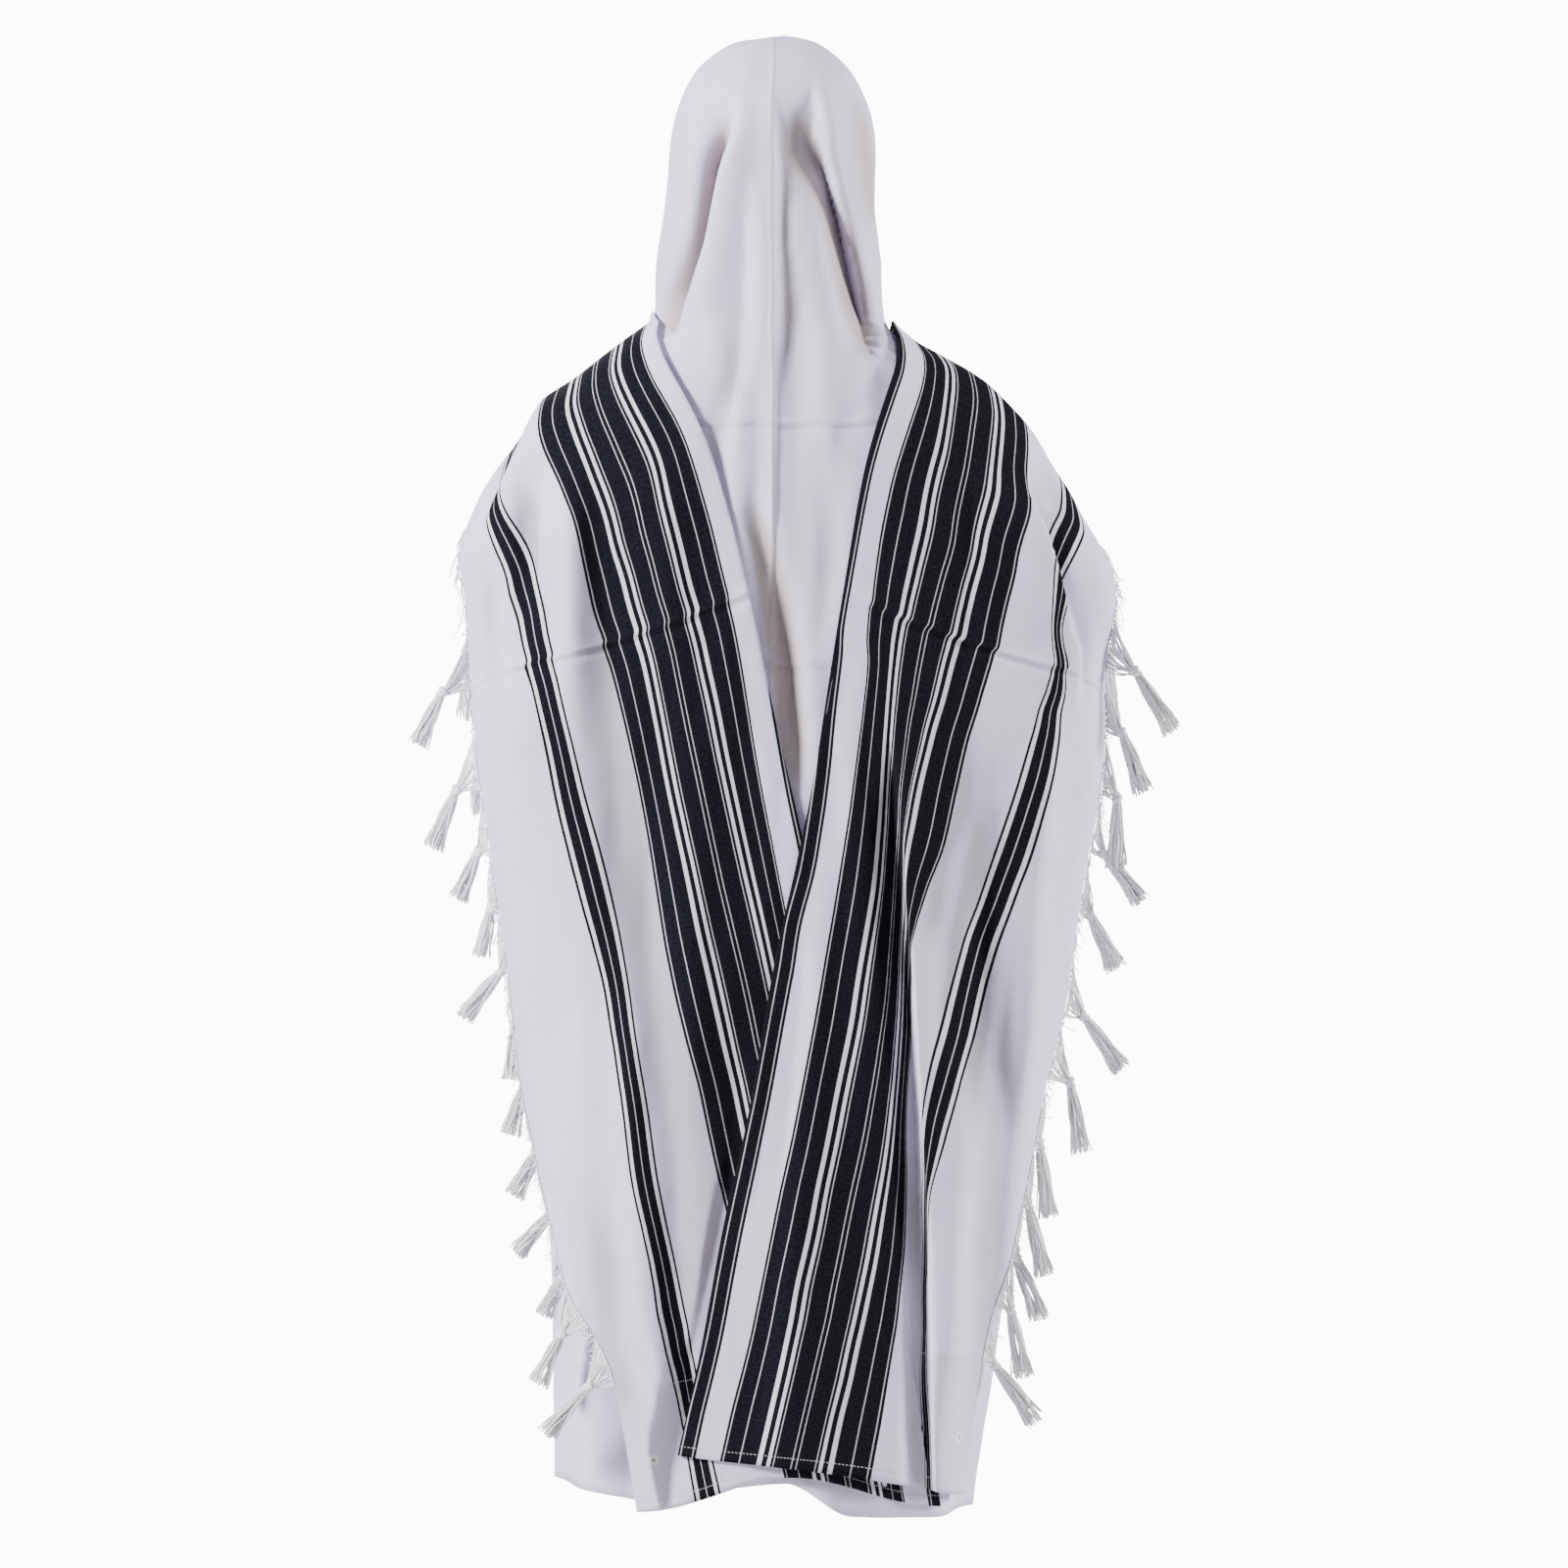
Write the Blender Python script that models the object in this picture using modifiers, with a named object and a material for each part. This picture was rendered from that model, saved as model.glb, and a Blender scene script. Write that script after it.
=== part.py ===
"""A tallit, the striped prayer shawl, worn over the head with both ends thrown back over the shoulders.

The cloth is one woven rectangle. It is modelled as it is worn, as hollow walls over a plain standing form:
the hood and back, the two striped ends that hang down the back, and the knotted fringe of each end.

Metres, +Z up. The origin is the inside of the hood at the crown, where the head carries the shawl.
The back of the garment faces -Y, its face opening +Y, and +X is on the right as seen from behind.
"""
import math

import bmesh
import bpy
import numpy as np
from mathutils import Matrix, Vector

# Driving dimensions
WALL = 0.0016                # thickness of the woven cloth
TUCK = 0.055                 # how far the cloth is turned under at that fold
TUCK_LIFT = 0.0058           # from the form to the inner face of the turned-under cloth
FOLD_ROOM = 0.0030           # free space inside the fold
FOLD_BEND = 0.006            # share of the width of an end that its fold takes up in bending
OVERLAP_LIFT = 0.0085        # how much further out the right end lies where it crosses the left one
NECK_ROOM = 0.0060           # how much further out the ends stand where they bend beside the neck
HEM_ARCH = {"left": 0.030, "right": 0.004}    # how far the hem of each end rises between its corners
ARCH_REACH = 0.24            # how far up the cloth that rise fades out
THREAD = 0.0008              # radius of a fringe thread bundle
KNOT = 0.0066                # radius of a tassel's knot
LOCK_LENGTH = 0.044          # loose brush below a knot
LOCK_TOP = 0.0034            # radius of a lock of the brush at the knot
LOCK_TIP = 0.0024            # and at its free end
LOCK_FLARE = 0.0058          # how far the locks spread
EDGE_GAP = 0.0004            # clearance between a fringe and the cloth's edge

# The standing form under the cloth. A turn of 0 degrees looks straight back, 180 straight ahead.
EQUATOR = 0.125              # from the crown down to the widest ring of the head
HEAD_END = 0.20              # above this drop the cloth's folds stand out from the middle of the head
NECK = 0.262                 # from the crown down to where the hood meets the shoulders
FACE_TURN = 109.0            # degrees from the back round to the face edge at the neck
DOME_POWER = 2.35            # how square the top of the head is from the back
FORM = [
    # drop,  left,   right,  back,  front, squareness
    (0.125, 0.0930, 0.0955, 0.108, 0.104, 2.05),
    (0.185, 0.0960, 0.0960, 0.112, 0.100, 2.05),
    (0.235, 0.0985, 0.0970, 0.115, 0.096, 2.05),
    (0.262, 0.1030, 0.1000, 0.117, 0.098, 2.05),
    (0.285, 0.1290, 0.1230, 0.119, 0.106, 2.10),
    (0.315, 0.1700, 0.1740, 0.122, 0.116, 2.15),
    (0.350, 0.2080, 0.2150, 0.126, 0.126, 2.20),
    (0.390, 0.2380, 0.2430, 0.130, 0.135, 2.25),
    (0.430, 0.2610, 0.2670, 0.134, 0.142, 2.25),
    (0.475, 0.2760, 0.2880, 0.137, 0.148, 2.25),
    (0.530, 0.2720, 0.3020, 0.139, 0.152, 2.25),
    (0.600, 0.2680, 0.2960, 0.140, 0.155, 2.25),
    (0.680, 0.2560, 0.2860, 0.141, 0.155, 2.25),
    (0.770, 0.2400, 0.2680, 0.142, 0.150, 2.25),
    (0.870, 0.2240, 0.2540, 0.143, 0.140, 2.25),
    (1.000, 0.2040, 0.2280, 0.144, 0.130, 2.25),
    (1.150, 0.1920, 0.2030, 0.145, 0.125, 2.25),
    (1.360, 0.1890, 0.1700, 0.146, 0.120, 2.25),
]

# How far the hood and back reach round to the front, and where their hem ends
REACH = [
    # drop, turn in degrees
    (0.262, 109.0),
    (0.300, 124.0),
    (0.360, 138.0),
    (0.480, 149.0),
    (0.620, 152.0),
    (0.710, 146.0),
    (0.790, 128.0),
    (0.880, 110.0),
    (1.000, 101.0),
    (1.360, 98.0),
]
HEM = [
    # turn in degrees, drop
    (-110.0, 1.312),
    (-70.0, 1.322),
    (-45.0, 1.332),
    (-15.0, 1.318),
    (5.0, 1.314),
    (30.0, 1.344),
    (60.0, 1.346),
    (110.0, 1.336),
]

# Soft folds of the hood and back: a ridge is raised, a trough is pressed in
BACK_FOLDS = [
    # top turn, top drop, low turn, low drop, half width, height
    (-48.0, 0.070, -58.0, 0.262, 0.016, -0.0085),
    (-66.0, 0.060, -74.0, 0.262, 0.014, 0.0050),
    (-24.0, 0.110, -38.0, 0.330, 0.017, 0.0045),
    (40.0, 0.065, 62.0, 0.290, 0.012, 0.0075),
    (27.0, 0.080, 42.0, 0.330, 0.014, -0.0075),
    (13.0, 0.130, 20.0, 0.420, 0.016, 0.0035),
    (-8.0, 0.160, -12.0, 0.480, 0.018, -0.0030),
    (-62.0, 0.900, -60.0, 1.400, 0.030, 0.0100),
    (58.0, 0.950, 55.0, 1.400, 0.028, 0.0100),
    (8.0, 0.980, 12.0, 1.400, 0.034, 0.0080),
    (118.0, 0.360, 122.0, 0.720, 0.026, 0.0120),
    (-120.0, 0.340, -124.0, 0.720, 0.026, 0.0120),
]

# The two striped ends. Each row of cloth runs from the fold beside the centre back out to the fringe.
LEFT_BACK_ROWS = [
    # fold x, fold drop, fringe x, fringe drop
    (0.140, 1.335, -0.118, 1.340),
    (0.118, 1.215, -0.133, 1.219),
    (0.096, 1.095, -0.169, 1.130),
    (0.074, 0.975, -0.200, 1.010),
    (0.053, 0.860, -0.222, 0.905),
    (0.027, 0.735, -0.243, 0.790),
    (0.000, 0.615, -0.262, 0.690),
    (-0.0214, 0.513, -0.268, 0.600),
]
LEFT_SHOULDER_ROWS = [
    # fold turn, fold drop, fringe turn, fringe drop
    (-26.0, 0.370, -84.0, 0.520),
    (-52.0, 0.280, -89.0, 0.472),
    (-86.0, 0.245, -94.0, 0.452),
    (-112.0, 0.262, -99.0, 0.468),
    (-126.0, 0.330, -104.0, 0.540),
    (-135.0, 0.450, -107.0, 0.650),
    (-139.0, 0.600, -109.0, 0.780),
    (-139.0, 0.740, -110.0, 0.900),
]
RIGHT_BACK_ROWS = [
    # fold x, fold drop, fringe x, fringe drop
    (-0.082, 1.288, 0.157, 1.326),
    (-0.062, 1.190, 0.181, 1.200),
    (-0.044, 1.085, 0.204, 1.105),
    (-0.0214, 0.978, 0.226, 0.985),
    (0.001, 0.844, 0.252, 0.878),
    (0.0205, 0.7545, 0.266, 0.800),
    (0.0366, 0.683, 0.280, 0.735),
    (0.052, 0.590, 0.290, 0.660),
    (0.065, 0.509, 0.294, 0.598),
]
RIGHT_SHOULDER_ROWS = [
    # fold turn, fold drop, fringe turn, fringe drop
    (36.0, 0.388, 84.0, 0.535),
    (50.0, 0.303, 89.0, 0.490),
    (86.0, 0.262, 94.0, 0.470),
    (112.0, 0.275, 99.0, 0.482),
    (126.0, 0.345, 104.0, 0.555),
    (135.0, 0.460, 107.0, 0.660),
    (139.0, 0.610, 109.0, 0.790),
    (139.0, 0.750, 110.0, 0.910),
]

# Folds of the ends, placed by the share of the way from fold to fringe and by the drop on the back
END_FOLDS = {
    "left": [
        # top share, top drop, low share, low drop, half width as a share, height
        (0.80, 0.300, 0.93, 0.500, 0.050, 0.0090),
        (0.66, 0.360, 0.80, 0.640, 0.070, 0.0045),
        (0.30, 0.420, 0.34, 0.760, 0.080, 0.0040),
        (0.88, 0.620, 0.84, 0.980, 0.075, 0.0060),
        (0.56, 0.700, 0.60, 1.380, 0.070, 0.0080),
        (0.20, 0.800, 0.30, 1.380, 0.070, 0.0060),
        (0.86, 1.020, 0.82, 1.380, 0.060, 0.0100),
    ],
    "right": [
        (0.84, 0.330, 0.90, 0.560, 0.055, 0.0100),
        (0.98, 0.420, 1.00, 0.560, 0.070, 0.0130),
        (0.62, 0.380, 0.66, 0.640, 0.070, 0.0045),
        (0.30, 0.440, 0.40, 0.800, 0.080, 0.0045),
        (0.86, 0.620, 0.80, 0.920, 0.070, 0.0070),
        (0.62, 0.660, 0.70, 1.200, 0.055, 0.0150),
        (0.36, 0.860, 0.40, 1.380, 0.080, 0.0060),
        (0.90, 1.000, 0.88, 1.380, 0.055, 0.0100),
    ],
}

# Knotted tassels that show, in the view from behind
LEFT_TASSELS = [
    # knot x, knot drop, tip x, tip drop
    (-0.302, 0.597, -0.320, 0.632),
    (-0.290, 0.688, -0.307, 0.727),
    (-0.270, 0.744, -0.284, 0.775),
    (-0.258, 0.796, -0.265, 0.828),
    (-0.248, 0.853, -0.276, 0.884),
    (-0.236, 0.905, -0.237, 0.940),
    (-0.225, 0.956, -0.236, 0.990),
    (-0.209, 1.013, -0.229, 1.046),
    (-0.195, 1.071, -0.222, 1.099),
    (-0.182, 1.122, -0.200, 1.153),
    (-0.180, 1.179, -0.197, 1.212),
    (-0.166, 1.226, -0.197, 1.258),
]
RIGHT_TASSELS = [
    # knot x, knot drop, tip x, tip drop
    (0.330, 0.580, 0.357, 0.620),
    (0.318, 0.636, 0.334, 0.676),
    (0.314, 0.693, 0.313, 0.742),
    (0.302, 0.746, 0.329, 0.778),
    (0.290, 0.802, 0.309, 0.838),
    (0.283, 0.895, 0.311, 0.931),
    (0.268, 0.955, 0.277, 1.003),
    (0.240, 1.012, 0.246, 1.062),
    (0.227, 1.067, 0.239, 1.115),
    (0.216, 1.112, 0.235, 1.156),
    (0.205, 1.160, 0.214, 1.206),
    (0.197, 1.212, 0.228, 1.251),
]
FRONT_TASSELS = 5            # on each end, along the part that hangs in front
STRIP_WIDTH = 0.0030         # woven strip that backs the fringe in front
KNOT_FALL = 0.024            # from the middle of a tassel's stretch of edge down to its knot
KNOT_OUT = 0.012             # least distance of a knot past the cloth's edge
FAN_SPREAD = 0.019           # half of the edge that one tassel's threads come from
TASSEL_CLEAR = 0.0145        # from the form out to a knot that hangs over the cloth
STEP_BACK = 0.006            # how much further out every other tassel hangs, clear of its neighbours
FRONT_KNOT = (0.022, 0.006, 0.024)    # from the edge to a knot in front: along the cloth, off it and down
FRONT_FLARE = 0.004          # how far the brush of a front tassel leans away from the edge

SHOULDER_TOP_ROW = 2         # the row of the shoulder tables that lies on the ridge of the shoulder

# Steps of the meshes
HOOD_ACROSS = 20
HOOD_ALONG = 10
CROWN_SHARE = 0.58           # share of the hood's rows that lie above the widest ring of the head
BACK_RINGS = 25
RING_SPACING = 1.6           # above 1, the rings of the back lie closer together at the neck
ROW_SPACING = 1.6            # how much closer together the rows of an end lie over the shoulder
END_ROWS = 31
END_ACROSS = 14
TUCK_STEPS = 3


def smooth_curve(rows, column, key=0):
    """A smooth function through one column of a table, with no overshoot between its rows."""
    places = np.array([row[key] for row in rows])
    values = np.array([row[column] for row in rows])
    steps = np.diff(places)
    rates = np.diff(values) / steps
    slopes = np.zeros(len(places))
    slopes[0] = rates[0]
    slopes[-1] = rates[-1]
    for i in range(1, len(places) - 1):
        if rates[i - 1] * rates[i] > 0:
            slopes[i] = 2 * rates[i - 1] * rates[i] / (rates[i - 1] + rates[i])

    def at(place):
        place = min(max(place, places[0]), places[-1])
        i = min(int(np.searchsorted(places, place, side="right")) - 1, len(steps) - 1)
        share = (place - places[i]) / steps[i]
        rise = values[i + 1] - values[i]
        start = slopes[i] * steps[i]
        finish = slopes[i + 1] * steps[i]
        bend = (3 * rise - 2 * start - finish) * share**2 + (start + finish - 2 * rise) * share**3
        return float(values[i] + start * share + bend)

    return at


FORM_CURVES = [smooth_curve(FORM, column) for column in range(1, 6)]
REACH_AT = smooth_curve(REACH, 1)
HEM_AT = smooth_curve(HEM, 1)


def ease(value, start, finish):
    """0 before start, 1 after finish, with a soft change between them."""
    share = min(max((value - start) / (finish - start), 0.0), 1.0)
    return share * share * (3 - 2 * share)


def form_point(turn, drop):
    """A point of the bare form, at a turn in degrees from straight back and a drop below the crown."""
    left, right, back, front, squareness = [curve(drop) for curve in FORM_CURVES]
    across = math.sin(math.radians(turn))
    along = math.cos(math.radians(turn))
    side = left if across < 0 else right
    depth = back if along > 0 else front
    far = ((abs(across) / side) ** squareness + (abs(along) / depth) ** squareness) ** (-1 / squareness)
    if drop < EQUATOR:
        far *= (1 - (1 - drop / EQUATOR) ** DOME_POWER) ** (1 / DOME_POWER)
    return np.array((far * across, -far * along, -drop))


def form_normal(turn, drop):
    """The outward direction of the bare form below the head."""
    round_it = form_point(turn + 1.0, drop) - form_point(turn - 1.0, drop)
    down_it = form_point(turn, drop + 0.004) - form_point(turn, drop - 0.004)
    normal = np.cross(down_it, round_it)
    return normal / np.linalg.norm(normal)


def back_fold(turn, drop):
    """How far the folds of the hood and back stand out of the form at a place."""
    total = 0.0
    radius = max(float(np.hypot(*form_point(turn, drop)[:2])), 0.02)
    for top_turn, top, low_turn, low, half_width, height in BACK_FOLDS:
        share = (drop - top) / (low - top)
        middle = top_turn + (low_turn - top_turn) * min(max(share, 0.0), 1.15)
        apart = math.radians(turn - middle) * radius / half_width
        fade = ease(drop, top - 0.02, top + 0.09) * (1 - ease(drop, low, low + 0.14))
        total += height * fade * math.exp(-apart * apart)
    return total


def cloth_point(turn, drop, lift=0.0):
    """A point of the cloth next to the form, moved out by a lift."""
    point = form_point(turn, drop)
    if drop < HEAD_END:
        out = np.array((point[0], point[1], max(EQUATOR - drop, 0.0)))
        out /= np.linalg.norm(out)
    else:
        out = form_normal(turn, drop)
    return point + out * (back_fold(turn, drop) + lift)


def turn_at(x, drop, lift=0.0):
    """The turn, in degrees, at which the back of the form, moved out by a lift, reaches a given x."""
    low, high = -88.0, 88.0
    for _ in range(24):
        middle = (low + high) / 2
        point = cloth_point(middle, drop, lift) if lift else form_point(middle, drop)
        if point[0] < x:
            low = middle
        else:
            high = middle
    return (low + high) / 2


def cloth_material(name, colour, roughness):
    material = bpy.data.materials.new(name)
    material.use_nodes = True
    shader = material.node_tree.nodes["Principled BSDF"]
    shader.inputs["Base Color"].default_value = (*colour, 1.0)
    shader.inputs["Roughness"].default_value = roughness
    shader.inputs["Metallic"].default_value = 0.0
    return material


def mesh_object(name, points, faces, material, collection):
    mesh = bpy.data.meshes.new(name)
    mesh.from_pydata([tuple(point) for point in points], [], faces)
    mesh.materials.append(material)
    mesh.shade_smooth()
    made = bpy.data.objects.new(name, mesh)
    collection.objects.link(made)
    return made


def give_wall(made):
    """Turn an open sheet into a wall of cloth that stands on the outer side of the sheet."""
    wall = made.modifiers.new("Wall", "SOLIDIFY")
    wall.thickness = WALL
    wall.offset = 1.0
    wall.use_even_offset = False
    wall.use_rim = True


def hood_and_back(material, collection):
    """The hood over the crown, the plain centre back and the cloth round both arms."""
    face_share = math.degrees(math.atan(math.tan(math.radians(FACE_TURN - 90.0)))) / 45.0
    grid = {}
    points = []

    def hood_place(column, row):
        across = math.tan(math.radians(45.0 * (2 * column / HOOD_ACROSS - 1)))
        along = math.tan(math.radians(45.0 * (face_share - (face_share + 1) * row / HOOD_ALONG)))
        far = max(abs(across), abs(along))
        even = far + (math.hypot(across, along) - far) * (1 - far)
        turn = math.degrees(math.atan2(across, -along))
        if even < CROWN_SHARE:
            drop = EQUATOR * (1 - math.cos(math.pi / 2 * even / CROWN_SHARE))
        else:
            drop = EQUATOR + (NECK - EQUATOR) * (even - CROWN_SHARE) / (1 - CROWN_SHARE)
        return turn, max(drop, 1e-5)

    for row in range(HOOD_ALONG + 1):
        for column in range(HOOD_ACROSS + 1):
            grid[column, row] = len(points)
            points.append(cloth_point(*hood_place(column, row)))
    faces = []
    for row in range(HOOD_ALONG):
        for column in range(HOOD_ACROSS):
            faces.append((
                grid[column, row], grid[column, row + 1], grid[column + 1, row + 1], grid[column + 1, row],
            ))

    left_side = [(0, row) for row in range(HOOD_ALONG)]
    nape = [(column, HOOD_ALONG) for column in range(HOOD_ACROSS + 1)]
    right_side = [(HOOD_ACROSS, row) for row in reversed(range(HOOD_ALONG))]
    neck_ring = left_side + nape + right_side
    neck_turns = [hood_place(*place)[0] for place in neck_ring]
    ring = [grid[place] for place in neck_ring]
    for step in range(1, BACK_RINGS + 1):
        share = step / BACK_RINGS
        share = 0.42 * share + 0.58 * share**RING_SPACING
        next_ring = []
        for neck_turn in neck_turns:
            drop = NECK + (HEM_AT(neck_turn) - NECK) * share
            turn = neck_turn * REACH_AT(drop) / FACE_TURN
            next_ring.append(len(points))
            points.append(cloth_point(turn, drop))
        for i in range(len(ring) - 1):
            faces.append((ring[i], next_ring[i], next_ring[i + 1], ring[i + 1]))
        ring = next_ring
    made = mesh_object("shawl_hood_and_back", points, faces, material, collection)
    give_wall(made)
    return made


def end_rows(back_rows, shoulder_rows):
    """The edges of one striped end, hem first, as smooth curves over its length, and where its rows lie.

    The rows lie closest together over the top of the shoulder, where the cloth bends most.
    """
    rows = []
    for fold_x, fold_drop, fringe_x, fringe_drop in back_rows:
        rows.append((turn_at(fold_x, fold_drop), fold_drop, turn_at(fringe_x, fringe_drop), fringe_drop))
    rows += shoulder_rows
    lengths = [0.0]
    for before, after in zip(rows, rows[1:]):
        steps = [
            np.linalg.norm(form_point(after[i], after[i + 1]) - form_point(before[i], before[i + 1]))
            for i in (0, 2)
        ]
        lengths.append(lengths[-1] + float(sum(steps)) / 2)
    table = [(length, *row) for length, row in zip(lengths, rows)]
    ridge = lengths[len(back_rows) + SHOULDER_TOP_ROW]
    fine = np.linspace(0.0, lengths[-1], 200)
    closeness = 1 + ROW_SPACING * np.exp(-(((fine - ridge) / 0.20) ** 2))
    counted = np.concatenate(([0.0], np.cumsum((closeness[1:] + closeness[:-1]) / 2)))
    places = np.interp(np.linspace(0.0, counted[-1], END_ROWS + 1), counted, fine)
    return [smooth_curve(table, column) for column in range(1, 5)], [float(place) for place in places]


RIGHT_FOLD_X = smooth_curve(RIGHT_BACK_ROWS[::-1], 0, key=1)


def end_fold(side, share, turn, drop, on_back):
    """How far the folds of a striped end stand out.

    In front of the shoulder they fade out, and so do the left end's where the right end lies on it.
    """
    total = 0.0
    if side == "left" and drop > 0.55:
        on_back *= 1 - ease(form_point(turn, drop)[0] - RIGHT_FOLD_X(drop), -0.035, -0.005)
    for top_share, top, low_share, low, half_width, height in END_FOLDS[side]:
        middle = top_share + (low_share - top_share) * min(max((drop - top) / (low - top), 0.0), 1.0)
        apart = (share - middle) / half_width
        fade = ease(drop, top - 0.03, top + 0.10) * (1 - ease(drop, low - 0.02, low + 0.12))
        total += height * fade * on_back * math.exp(-apart * apart)
    return total


def striped_end(side, back_rows, shoulder_rows, material, collection):
    """One end of the shawl: turned under at its fold, over the shoulder, with its fringe edge outside."""
    curves, places = end_rows(back_rows, shoulder_rows)
    points = []
    fringe_edge = []
    for place in places:
        fold_turn, fold_drop, fringe_turn, fringe_drop = [curve(place) for curve in curves]
        arch = HEM_ARCH[side] * (1 - ease(place, 0.0, ARCH_REACH))

        def surface(share):
            drop = fold_drop + (fringe_drop - fold_drop) * share - arch * math.sin(math.pi * share) ** 2
            return fold_turn + (fringe_turn - fold_turn) * share, drop

        dense = [cloth_point(*surface(i / 40)) for i in range(41)]
        steps = [np.linalg.norm(after - before) for before, after in zip(dense, dense[1:])]
        lengths = np.concatenate(([0.0], np.cumsum(steps)))
        on_back = 1 - ease(abs(fringe_turn), 90.0, 100.0)
        extra = OVERLAP_LIFT * ease(fold_drop, 0.42, 0.66) * on_back if side == "right" else 0.0
        extra += NECK_ROOM * (1 - ease(fold_drop, 0.34, 0.50))

        def even_place(share):
            return surface(float(np.interp(share * lengths[-1], lengths, np.linspace(0, 1, 41))))

        tuck_share = TUCK / lengths[-1]
        line = []
        for i in range(TUCK_STEPS + 1):
            share = tuck_share * (1 - i / TUCK_STEPS) + FOLD_BEND
            line.append(cloth_point(*even_place(share), TUCK_LIFT + extra))
        line.append(cloth_point(*even_place(0.0), TUCK_LIFT + FOLD_ROOM / 2 + extra))
        for i in range(END_ACROSS + 1):
            share = FOLD_BEND + (1 - FOLD_BEND) * i / END_ACROSS
            turn, drop = even_place(share)
            lift = TUCK_LIFT + FOLD_ROOM + extra + end_fold(side, share, turn, drop, on_back)
            line.append(cloth_point(turn, drop, lift))
        fringe_edge.append((line[-1], line[-1] - line[-2], form_normal(fringe_turn, fringe_drop)))
        points += line
    columns = len(line)
    faces = []
    for row in range(END_ROWS):
        for column in range(columns - 1):
            first = row * columns + column
            corners = (first, first + 1, first + 1 + columns, first + columns)
            faces.append(corners if side == "right" else corners[::-1])
    made = mesh_object(f"shawl_{side}_end", points, faces, material, collection)
    give_wall(made)
    return made, fringe_edge


def tube(start, finish, start_radius, finish_radius, sides, mesh):
    """Add a straight tapered strand to a bmesh."""
    start, finish = Vector(start), Vector(finish)
    along = finish - start
    turned = along.to_track_quat("Z", "Y").to_matrix().to_4x4()
    middle = Matrix.Translation((start + finish) / 2) @ turned
    bmesh.ops.create_cone(
        mesh, cap_ends=True, segments=sides, radius1=start_radius, radius2=finish_radius,
        depth=along.length, matrix=middle,
    )


def edge_lengths(fringe_edge):
    """How far along the fringe edge each of its rows lies, from the hem."""
    steps = [np.linalg.norm(after[0] - before[0]) for before, after in zip(fringe_edge, fringe_edge[1:])]
    return np.concatenate(([0.0], np.cumsum(steps)))


def edge_place(fringe_edge, at):
    """A point of the fringe edge, and its outward and cloth-normal directions, at a length from the hem."""
    lengths = edge_lengths(fringe_edge)
    row = min(max(int(np.searchsorted(lengths, at)) - 1, 0), len(fringe_edge) - 2)
    share = (at - lengths[row]) / (lengths[row + 1] - lengths[row])
    point, out, normal = [
        (1 - share) * before + share * after
        for before, after in zip(fringe_edge[row], fringe_edge[row + 1])
    ]
    out = out / np.linalg.norm(out)
    return point + normal * WALL / 2, out, normal


def add_tassel(strands, knot, tip, fringe_edge, at, threads, locks, root_out):
    """Add a tassel's strands to a bmesh: threads from the cloth's edge to the knot, and its loose brush."""
    knot, tip = np.array(knot), np.array(tip)
    for i in range(threads):
        spread = (2 * i / (threads - 1) - 1) * FAN_SPREAD
        root, out, _ = edge_place(fringe_edge, at + spread)
        tube(knot, root + out * root_out, THREAD, THREAD, 3, strands)
    fall = Vector(tip - knot).normalized()
    sideways = fall.cross(Vector((0.0, 1.0, 0.0))).normalized()
    across = fall.cross(sideways).normalized()
    for i in range(locks):
        angle = 2 * math.pi * i / locks
        flare = (sideways * math.cos(angle) + across * math.sin(angle)) * LOCK_FLARE
        end = Vector(knot) + fall * LOCK_LENGTH * (1 - 0.1 * (i % 2)) + flare
        tube(Vector(knot) + flare * 0.35, end, LOCK_TOP, LOCK_TIP, 3, strands)
    return fall


def add_knot(mesh, knot, fall):
    """Add a knot, an egg that points along the tassel, to a bmesh."""
    upright = fall.to_track_quat("Z", "Y").to_matrix().to_4x4()
    egg = Matrix.Diagonal((1.0, 1.0, 1.25, 1.0))
    place = Matrix.Translation(Vector(knot)) @ upright @ egg
    bmesh.ops.create_uvsphere(mesh, u_segments=6, v_segments=3, radius=KNOT, matrix=place)


def fuse_strands(backing, strands):
    """Join a bmesh of strands to the object that backs them, as one closed body."""
    mesh = bpy.data.meshes.new(backing.name + "_strands")
    strands.to_mesh(mesh)
    strands.free()
    cutter = bpy.data.objects.new(backing.name + "_strands", mesh)
    cutter.hide_render = True
    cutter.display_type = "WIRE"
    bpy.data.collections["Cutters"].objects.link(cutter)
    fuse = backing.modifiers.new("Fuse strands", "BOOLEAN")
    fuse.operation = "UNION"
    fuse.solver = "EXACT"
    fuse.use_self = True
    fuse.object = cutter


def hang(x, drop, edge_y):
    """Where a tassel hangs: beside the shawl, or just clear of the cloth that it hangs over."""
    beside = cloth_point(turn_at(x, drop, TASSEL_CLEAR), drop, TASSEL_CLEAR)
    return np.array((x, min(edge_y, beside[1]), -drop))


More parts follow.
